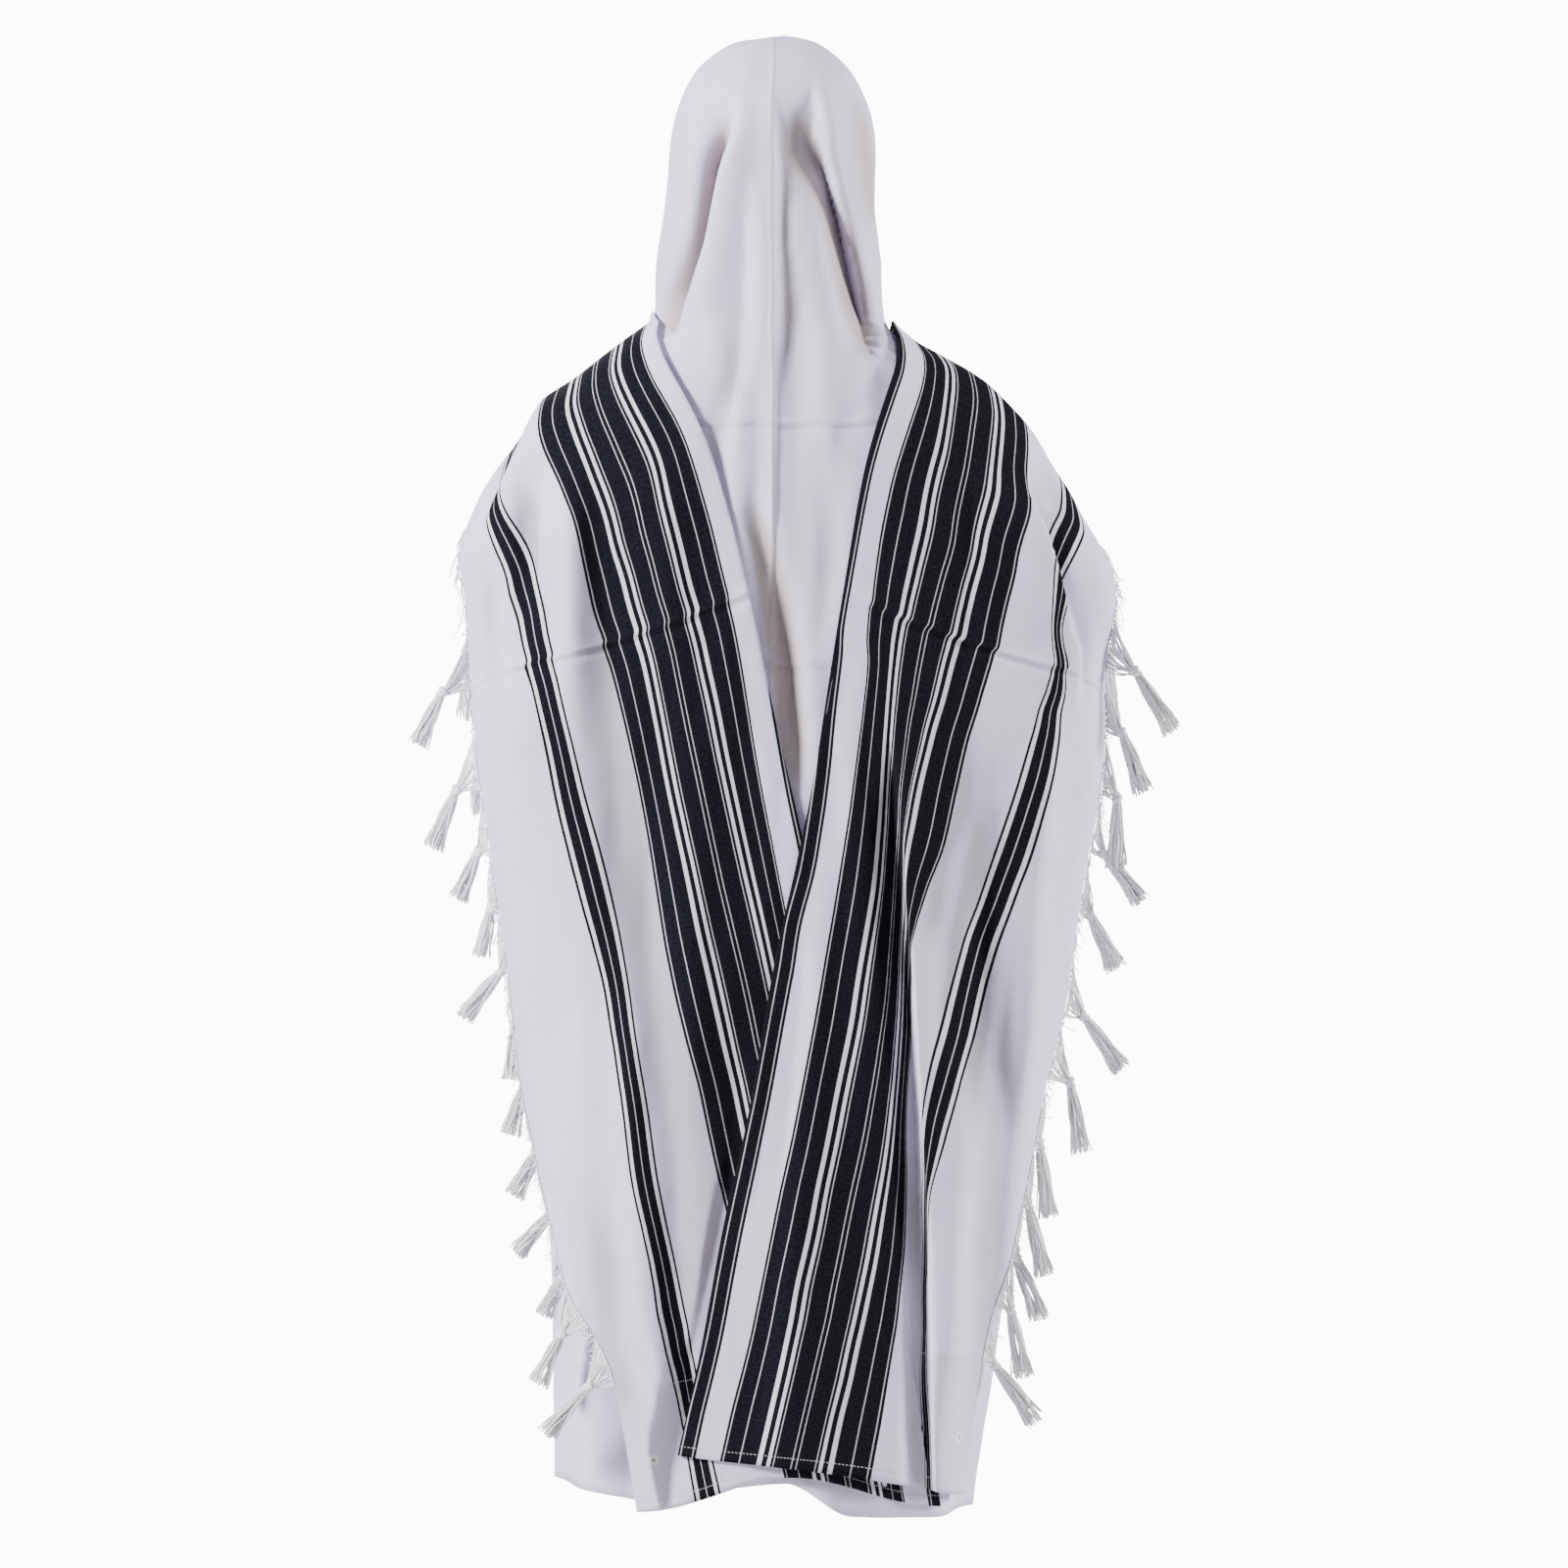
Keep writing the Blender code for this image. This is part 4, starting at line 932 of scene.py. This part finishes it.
def bowed(start, finish, sag, side_sway, steps):
    """Points of a slack thread between two places."""
    share = np.linspace(0.0, 1.0, steps)[:, None]
    bow = 4 * share * (1 - share)
    return start * (1 - share) + finish * share + bow * (sag * DOWN + side_sway)


def brush_thread(knot, tip, around, flare, length, steps):
    """One thread of the brush: out of the knot, opening a little, with a soft wave."""
    fall = tip - knot
    fall = fall / np.linalg.norm(fall)
    sideways = np.cross(fall, (0.0, 1.0, 0.0))
    sideways /= np.linalg.norm(sideways)
    deep = np.cross(fall, sideways)
    out = sideways * math.cos(around) + deep * math.sin(around) * 0.7
    share = np.linspace(0.0, 1.0, steps)[:, None]
    wave = (sideways * np.sin(share * 7.0 + around * 3) + deep * np.cos(share * 6.0 + around * 5)) * 0.0014
    drop = DOWN * 0.004 * share**2
    return knot + fall * length * share + out * flare * (0.28 + 0.72 * share**0.8) + wave * share + drop


def knot_mesh(name, knot, fall, size):
    """A knot: a ball pressed long, with two turns of cord wound round it."""
    select()
    bpy.ops.mesh.primitive_uv_sphere_add(segments=12, ring_count=8, radius=size, location=(0, 0, 0))
    ball = bpy.context.object
    bpy.ops.object.mode_set(mode="EDIT")
    bpy.ops.mesh.select_all(action="SELECT")
    bpy.ops.transform.resize(value=(0.90, 0.90, 1.15))
    bpy.ops.object.mode_set(mode="OBJECT")
    cords = []
    for lean, height in ((0.55, 0.25), (-0.5, -0.3)):
        select()
        bpy.ops.mesh.primitive_torus_add(
            major_segments=16, minor_segments=6, major_radius=size * 0.82, minor_radius=size * 0.36,
            location=(0, 0, size * height), rotation=(lean, lean * 0.6, 0.0),
        )
        cords.append(bpy.context.object)
    join(ball, cords)
    turned = Vector(fall).to_track_quat("-Z", "Y").to_matrix().to_4x4()
    ball.data.transform(Matrix.Translation(Vector(knot)) @ turned @ ball.matrix_world)
    ball.matrix_world = Matrix.Identity(4)
    ball.name = name
    return ball


def edge_at(side, at):
    """Place, outward way and cloth normal on a fringe edge, at a length from the hem."""
    line = edges[side]["edge"]
    lengths = np.concatenate(([0.0], np.cumsum(np.linalg.norm(np.diff(line, axis=0), axis=1))))
    out = line - edges[side]["inside"]

    def read(values):
        return np.array([np.interp(at, lengths, values[:, i]) for i in range(3)])

    away = read(out)
    return read(line) + read(edges[side]["normal"]) * WALL / 2, away / np.linalg.norm(away), lengths


def make_tassel(name, side, at, knot, tip, threads_in_fan, threads_in_brush):
    """A fan of threads, a knot and a brush, as one mesh."""
    fall = (tip - knot) / np.linalg.norm(tip - knot)
    threads = []
    for i in range(threads_in_fan):
        share = 2 * i / (threads_in_fan - 1) - 1
        root, out, _ = edge_at(side, at + share * FAN_SPREAD + chance.normal(0, 0.0007))
        aim = knot + chance.normal(0, 0.0012, 3)
        sway = chance.normal(0, 0.0012, 3) * np.array((1.0, 0.4, 1.0))
        points = bowed(root - out * 0.0008, aim, 0.0012 + 0.0022 * (1 - share * share), sway, 7)
        threads.append((points, np.linspace(1.0, 1.25, 7)))
    for i in range(threads_in_brush):
        around = 2 * math.pi * chance.random()
        flare = 0.0092 * math.sqrt(chance.random()) + 0.0004
        length = np.linalg.norm(tip - knot) * (1.12 + 0.16 * chance.random())
        points = brush_thread(knot, tip, around, flare, length, 7)
        threads.append((points, np.linspace(1.15, 0.85, 7)))
    strands = threads_to_mesh(name, threads, THREAD)
    knot_piece = knot_mesh(name + "_knot", knot, fall, KNOT)
    join(strands, [knot_piece])
    bpy.ops.object.shade_smooth()
    return strands


# %% The tassels that hang at the back
def hang(x, drop, edge_y):
    """Where a tassel hangs: beside the shawl, or just clear of the cloth that it hangs over."""
    beside = cloth_point(np.array(turn_at(x, drop)), np.array(drop), np.array(TASSEL_CLEAR))
    return np.array((x, min(edge_y, beside[1]), -drop))


tassels = {"left": [], "right": []}
for side, table in (("left", LEFT_TASSELS), ("right", RIGHT_TASSELS)):
    line = edges[side]["edge"]
    _, _, lengths = edge_at(side, 0.0)
    top = int(np.argmax(line[:, 2]))
    for number, (knot_x, knot_drop, tip_x, tip_drop) in enumerate(table, start=1):
        at = float(np.interp(-(knot_drop - KNOT_FALL), line[:top, 2], lengths[:top]))
        root, out, _ = edge_at(side, at)
        step_back = np.array((0.0, -STEP_BACK * (number % 2), 0.0))
        knot = hang(knot_x, knot_drop, root[1]) + step_back
        tip = hang(tip_x, tip_drop, root[1]) + step_back
        clear = out * max(0.0, KNOT_OUT - float(np.dot(knot - root, out)))
        piece = make_tassel(f"fringe_{side}_{number:02d}", side, at, knot + clear, tip + clear,
                            FAN_THREADS, BRUSH_THREADS)
        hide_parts(f"tassel_{side}_{number:02d}")
        tassels[side].append(piece)
print(len(tassels["left"]) + len(tassels["right"]), "tassels at the back")

# %% Loose threads between the tassels
EDGE_THREAD_STEP = 0.0021
EDGE_THREAD_REACH = (0.006, 0.016)
EDGE_THREAD = 0.00055
for side in ("left", "right"):
    _, _, lengths = edge_at(side, 0.0)
    threads = []
    for at in np.arange(0.13, lengths[-1] - 0.02, EDGE_THREAD_STEP):
        root, out, _ = edge_at(side, float(at) + chance.normal(0, 0.0006))
        reach = chance.uniform(*EDGE_THREAD_REACH)
        way = out * 0.9 + np.array((0.0, 0.0, -0.55)) + chance.normal(0, 0.35, 3) * (1.0, 0.3, 1.0)
        bend = chance.normal(0, 0.0016, 3) * np.array((1.0, 0.4, 1.0))
        points = bowed(root - out * 0.001, root + way * reach, 0.0015, bend, 5)
        threads.append((points, np.linspace(1.0, 0.7, 5)))
    loose = threads_to_mesh(f"edge_threads_{side}", threads, EDGE_THREAD)
    bpy.ops.object.shade_smooth()
    tassels[side].append(loose)
    print(loose.name, len(threads), "threads")

# %% The fringe in front
FRONT_TASSELS = 5
FRONT_KNOT = (0.022, 0.006, 0.024)
FRONT_BRUSH = 0.044
FRONT_FLARE = 0.004
FRONT_THREADS = (10, 22)
for side in ("left", "right"):
    line = edges[side]["edge"]
    _, _, lengths = edge_at(side, 0.0)
    top = int(np.argmax(line[:, 2]))
    first = lengths[top] + 0.060 + 1.2 * FAN_SPREAD
    last = lengths[-1] - 1.2 * FAN_SPREAD
    pieces = []
    for number in range(FRONT_TASSELS):
        at = first + (last - first) * number / (FRONT_TASSELS - 1)
        root, out, _ = edge_at(side, at)
        index = int(np.searchsorted(lengths, at))
        normal = edges[side]["normal"][min(index, len(line) - 1)]
        along, off, down = FRONT_KNOT
        knot = root + out * along + normal * off + DOWN * down
        tip = knot + DOWN * FRONT_BRUSH + out * FRONT_FLARE
        pieces.append(make_tassel(f"front_{side}_{number}", side, at, knot, tip, *FRONT_THREADS))
    front = pieces[0]
    join(front, pieces[1:])
    front.name = f"fringe_{side}_front_threads"
    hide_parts(f"fringe_{side}_front")
    tassels[side].append(front)
    print(front.name, len(front.data.polygons), "faces")

# %% [markdown]
# ## Wool twill, plain and striped
#
# The cloth is a fine, matte wool twill: off-white with a slow unevenness. Where it lies deep in a fold or
# between other folds, its colour is painted greyer: painted shade, which gives a part of the shade that lies
# there as colour. Its weave is a diagonal rib about a millimetre apart. Colour, weave and hem stitches are
# worked out from the cloth coordinates in the UV map, so they bend with the cloth. The stripes are colour ramps
# with hard stops: one for each of the three bands, stretched over the band's own stretch of cloth. An image
# would do the same, but it would blur when seen close.

# %% The weave and the ground colour
# WHITE and COOL are the wool's own tones; the other three are painted shade for cloth deep in and between
# folds, and the warm one also tints the doubled corner
WHITE = (0.720, 0.682, 0.865, 1.0)
WARM_SHADE_AND_CORNER = (0.500, 0.440, 0.455, 1.0)
COOL = (0.650, 0.618, 0.820, 1.0)
GREY_SHADE = (0.450, 0.410, 0.520, 1.0)
DEEPEST_SHADE = (0.360, 0.318, 0.350, 1.0)


def new_material(name, roughness, sheen):
    """A matte finish with its nodes, links and shader. The functions below work in the one made last."""
    material = bpy.data.materials.new(name)
    material.use_nodes = True
    shader = material.node_tree.nodes["Principled BSDF"]
    shader.inputs["Roughness"].default_value = roughness
    shader.inputs["Sheen Weight"].default_value = sheen
    shader.inputs["Sheen Roughness"].default_value = 0.5
    shader.inputs["Specular IOR Level"].default_value = 0.02
    return material, material.node_tree.nodes, material.node_tree.links, shader


def feed(socket, value):
    """Give a node's input a number or a colour, or link it to the output of another node."""
    if isinstance(value, bpy.types.NodeSocket):
        links.new(value, socket)
    else:
        socket.default_value = value


def add_node(kind, **values):
    node = nodes.new("ShaderNode" + kind)
    for name, value in values.items():
        feed(node.inputs[name.replace("_", " ")], value)
    return node


def maths(operation, first, second=0.0):
    node = nodes.new("ShaderNodeMath")
    node.operation = operation
    feed(node.inputs[0], first)
    feed(node.inputs[1], second)
    return node.outputs[0]


def product(first, second):
    return maths("MULTIPLY", first, second)


def within(value, limit):
    return maths("LESS_THAN", value, limit)


def mix_colour(factor, first, second):
    node = nodes.new("ShaderNodeMix")
    node.data_type = "RGBA"
    for socket, value in ((0, factor), (6, first), (7, second)):
        feed(node.inputs[socket], value)
    return node.outputs[2]


def ground(sunk):
    """Off-white wool with a slow unevenness, and painted shade where it is sunk deep in a fold."""
    where = add_node("TexCoord").outputs["Object"]
    slow = add_node("TexNoise", Scale=7.0, Detail=3.0, Vector=where)
    colour = mix_colour(slow.outputs["Fac"], WHITE, COOL)
    depth = nodes.new("ShaderNodeAttribute")
    depth.attribute_name = "painted_shade_depth"
    # painted shade: the colour turns to the given shade tone as the folds sink, then to the deepest shade
    for tone, shallow, deep in ((sunk, -0.0015, -0.0110), (DEEPEST_SHADE, -0.0110, -0.0300)):
        share = add_node("MapRange", Value=depth.outputs["Fac"], From_Min=shallow, From_Max=deep)
        colour = mix_colour(share.outputs["Result"], colour, tone)
    return colour


def weave():
    """A diagonal twill rib, with the unevenness of spun yarn. Gives the cloth coordinates, yarn and bump."""
    woven = nodes.new("ShaderNodeUVMap")
    woven.uv_map = "woven"
    flat = woven.outputs["UV"]
    turned = add_node("Mapping", Rotation=(0.0, 0.0, math.radians(56)), Vector=flat)
    rib = add_node("TexWave", Scale=145.0, Distortion=0.8, Detail=1.0, Vector=turned.outputs["Vector"])
    yarn = add_node("TexNoise", Scale=420.0, Detail=2.0, Vector=flat).outputs["Fac"]
    soft = add_node("TexNoise", Scale=38.0, Detail=3.0, Vector=flat).outputs["Fac"]
    height = maths("ADD", maths("ADD", rib.outputs["Fac"], product(yarn, 0.9)), product(soft, 5.0))
    bump = add_node("Bump", Strength=0.5, Distance=0.00022, Height=height)
    links.new(bump.outputs["Normal"], shader.inputs["Normal"])
    return flat, yarn, bump


def pressed_line(from_line, width, fade):
    """A sharp pressed line: a bump that stands highest on the line itself."""
    near = add_node("MapRange", Value=maths("ABSOLUTE", from_line), From_Min=width, From_Max=0.0)
    near.interpolation_type = "SMOOTHERSTEP"
    return add_node("Bump", Strength=0.40, Distance=0.0022, Height=product(near.outputs["Result"], fade))


plain, nodes, links, shader = new_material("plain wool twill", 0.92, 0.03)
# warm painted shade in the sunk folds of the plain cloth
feed(shader.inputs["Base Color"], ground(WARM_SHADE_AND_CORNER))
_, _, last_bump = weave()
where = add_node("TexCoord").outputs["Object"]
place_of = add_node("SeparateXYZ", Vector=where)
drift = product(add_node("TexNoise", Scale=22.0, Vector=where).outputs["Fac"], 0.005)
at_back = within(place_of.outputs["Y"], 0.0)
# axis, where the line crosses it (the other way round), width, strength
PRESSED_LINES = (("X", -0.0015, 0.0042, 1.0), ("Z", 0.3560, 0.0050, 0.45), ("Z", 0.5735, 0.0050, 0.8))
for axis, offset, width, strength in reversed(PRESSED_LINES):
    from_line = maths("ADD", maths("ADD", place_of.outputs[axis], offset), drift)
    line_bump = pressed_line(from_line, width, product(at_back, strength))
    feed(last_bump.inputs["Normal"], line_bump.outputs["Normal"])
    last_bump = line_bump
print("plain cloth made")

# %% The stripes
INK = (0.0050, 0.0050, 0.0085, 1.0)
PALE = (0.640, 0.640, 0.690, 1.0)
THIN = (0.430, 0.430, 0.470, 1.0)
# a band's stretch of cloth, then where each stripe starts across it and its tone
OUTER_BAND = (0.058, 0.091, [(0.0, INK), (0.075, PALE), (0.205, INK), (0.483, THIN), (0.517, INK),
                             (0.795, PALE), (0.925, INK)])
HALF = [(0.0, INK), (0.018, THIN), (0.026, INK), (0.118, THIN), (0.126, INK), (0.232, PALE),
        (0.262, INK), (0.297, PALE), (0.327, INK), (0.344, THIN), (0.353, INK), (0.477, THIN),
        (0.486, INK)]
MIRRORED = [(round(1 - HALF[i + 1][0], 4), HALF[i][1]) for i in range(len(HALF) - 2, -1, -1)]
WIDE_BAND = (0.143, 0.268, HALF + MIRRORED)
INNER_BAND = (0.293, 0.320, [(0.0, INK), (0.090, THIN), (0.130, INK), (0.475, THIN), (0.515, INK),
                             (0.870, THIN), (0.910, INK)])


def stripe_band(across, under, band):
    """Lay one band of stripes over the colour under it, where the cloth coordinate lies within the band."""
    start, finish, stops = band
    stretch = add_node("MapRange", Value=across, From_Min=start, From_Max=finish)
    ramp = add_node("ValToRGB", Fac=stretch.outputs["Result"])
    ramp.color_ramp.interpolation = "CONSTANT"
    elements = ramp.color_ramp.elements
    for number, (stop, tone) in enumerate(stops):
        element = elements[number] if number < 2 else elements.new(stop)
        element.position = stop
        element.color = tone
    inside = product(maths("GREATER_THAN", across, start), within(across, finish))
    return mix_colour(inside, under, ramp.outputs["Color"])


CORNER = (0.094, 0.114)
HEM_STITCHES = 0.010
CORNER_STITCHES = 0.095
EYELET = (0.026, 0.046)
striped, nodes, links, shader = new_material("striped wool twill", 0.95, 0.0)
woven, yarn, _ = weave()
apart = add_node("SeparateXYZ", Vector=woven)
across, up = apart.outputs["X"], apart.outputs["Y"]
# grey painted shade in the sunk folds of the striped ends
colour = ground(GREY_SHADE)
# the doubled corner beside the fringe is a shade warmer than the rest
on_corner = product(within(across, CORNER[0]), within(up, CORNER[1]))
colour = mix_colour(product(on_corner, 0.22), colour, WARM_SHADE_AND_CORNER)
for band in (OUTER_BAND, WIDE_BAND, INNER_BAND):
    colour = stripe_band(across, colour, band)
# short pale stitches along the hem and round the doubled corner
for line, other, height, reach in (
    (up, across, HEM_STITCHES, 1.0),
    (up, across, CORNER[1], CORNER_STITCHES),
    (across, up, CORNER_STITCHES, CORNER[1]),
):
    near = within(maths("ABSOLUTE", maths("SUBTRACT", line, height)), 0.0004)
    stitch = within(maths("FRACT", product(other, 340.0)), 0.55)
    colour = mix_colour(product(product(near, within(other, reach)), stitch), colour, THIN)
# the corner's eyelet: a pale ring, and its hole, painted a darker grey as the shade in it
aside, above = maths("SUBTRACT", across, EYELET[0]), maths("SUBTRACT", up, EYELET[1])
far = maths("SQRT", maths("ADD", product(aside, aside), product(above, above)))
colour = mix_colour(within(far, 0.0050), colour, (0.80, 0.79, 0.80, 1.0))
colour = mix_colour(within(far, 0.0018), colour, (0.40, 0.37, 0.43, 1.0))
# the wool's fuzz catches a little light all over
fuzz = add_node("MapRange", Value=yarn, From_Min=0.35, From_Max=0.75, To_Max=0.018)
colour = mix_colour(fuzz.outputs["Result"], colour, (0.5, 0.5, 0.56, 1.0))
feed(shader.inputs["Base Color"], colour)
print("striped cloth made, wide band of", len(WIDE_BAND[2]), "stops")

# %% [markdown]
# ## Fringe yarn
#
# The fringe is the same wool, unwoven: soft, slightly brighter, with a fine uneven twist.

# %% Fringe yarn
yarn_finish, nodes, links, shader = new_material("fringe yarn", 0.92, 0.35)
where = add_node("TexCoord").outputs["Object"]
twist = add_node("TexNoise", Scale=260.0, Detail=2.0, Vector=where).outputs["Fac"]
feed(shader.inputs["Base Color"], mix_colour(twist, (0.95, 0.93, 0.96, 1.0), (0.84, 0.82, 0.85, 1.0)))
bump = add_node("Bump", Strength=0.6, Distance=0.0004, Height=twist)
feed(shader.inputs["Normal"], bump.outputs["Normal"])
print("three finishes made")

# %% [markdown]
# ## Put it all together
#
# Every new piece gets its finish, rides on the one body, and takes the place of the plain solid that stood for
# it.

# %% Finishes, and what each piece stands for
def finish(piece, material, slot):
    piece.data.materials.clear()
    piece.data.materials.append(material)
    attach(piece, "root")


finish(back, plain, "plain_cloth")
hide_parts("shawl_hood_and_back")
for side in ("left", "right"):
    finish(ends[side], striped, "striped_cloth")
    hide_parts(f"shawl_{side}_end")
    for piece in tassels[side]:
        finish(piece, yarn_finish, "fringe_yarn")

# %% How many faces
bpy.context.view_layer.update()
pieces = [back, *ends.values(), *tassels["left"], *tassels["right"]]
print("faces in all:", sum(len(piece.data.polygons) for piece in pieces))
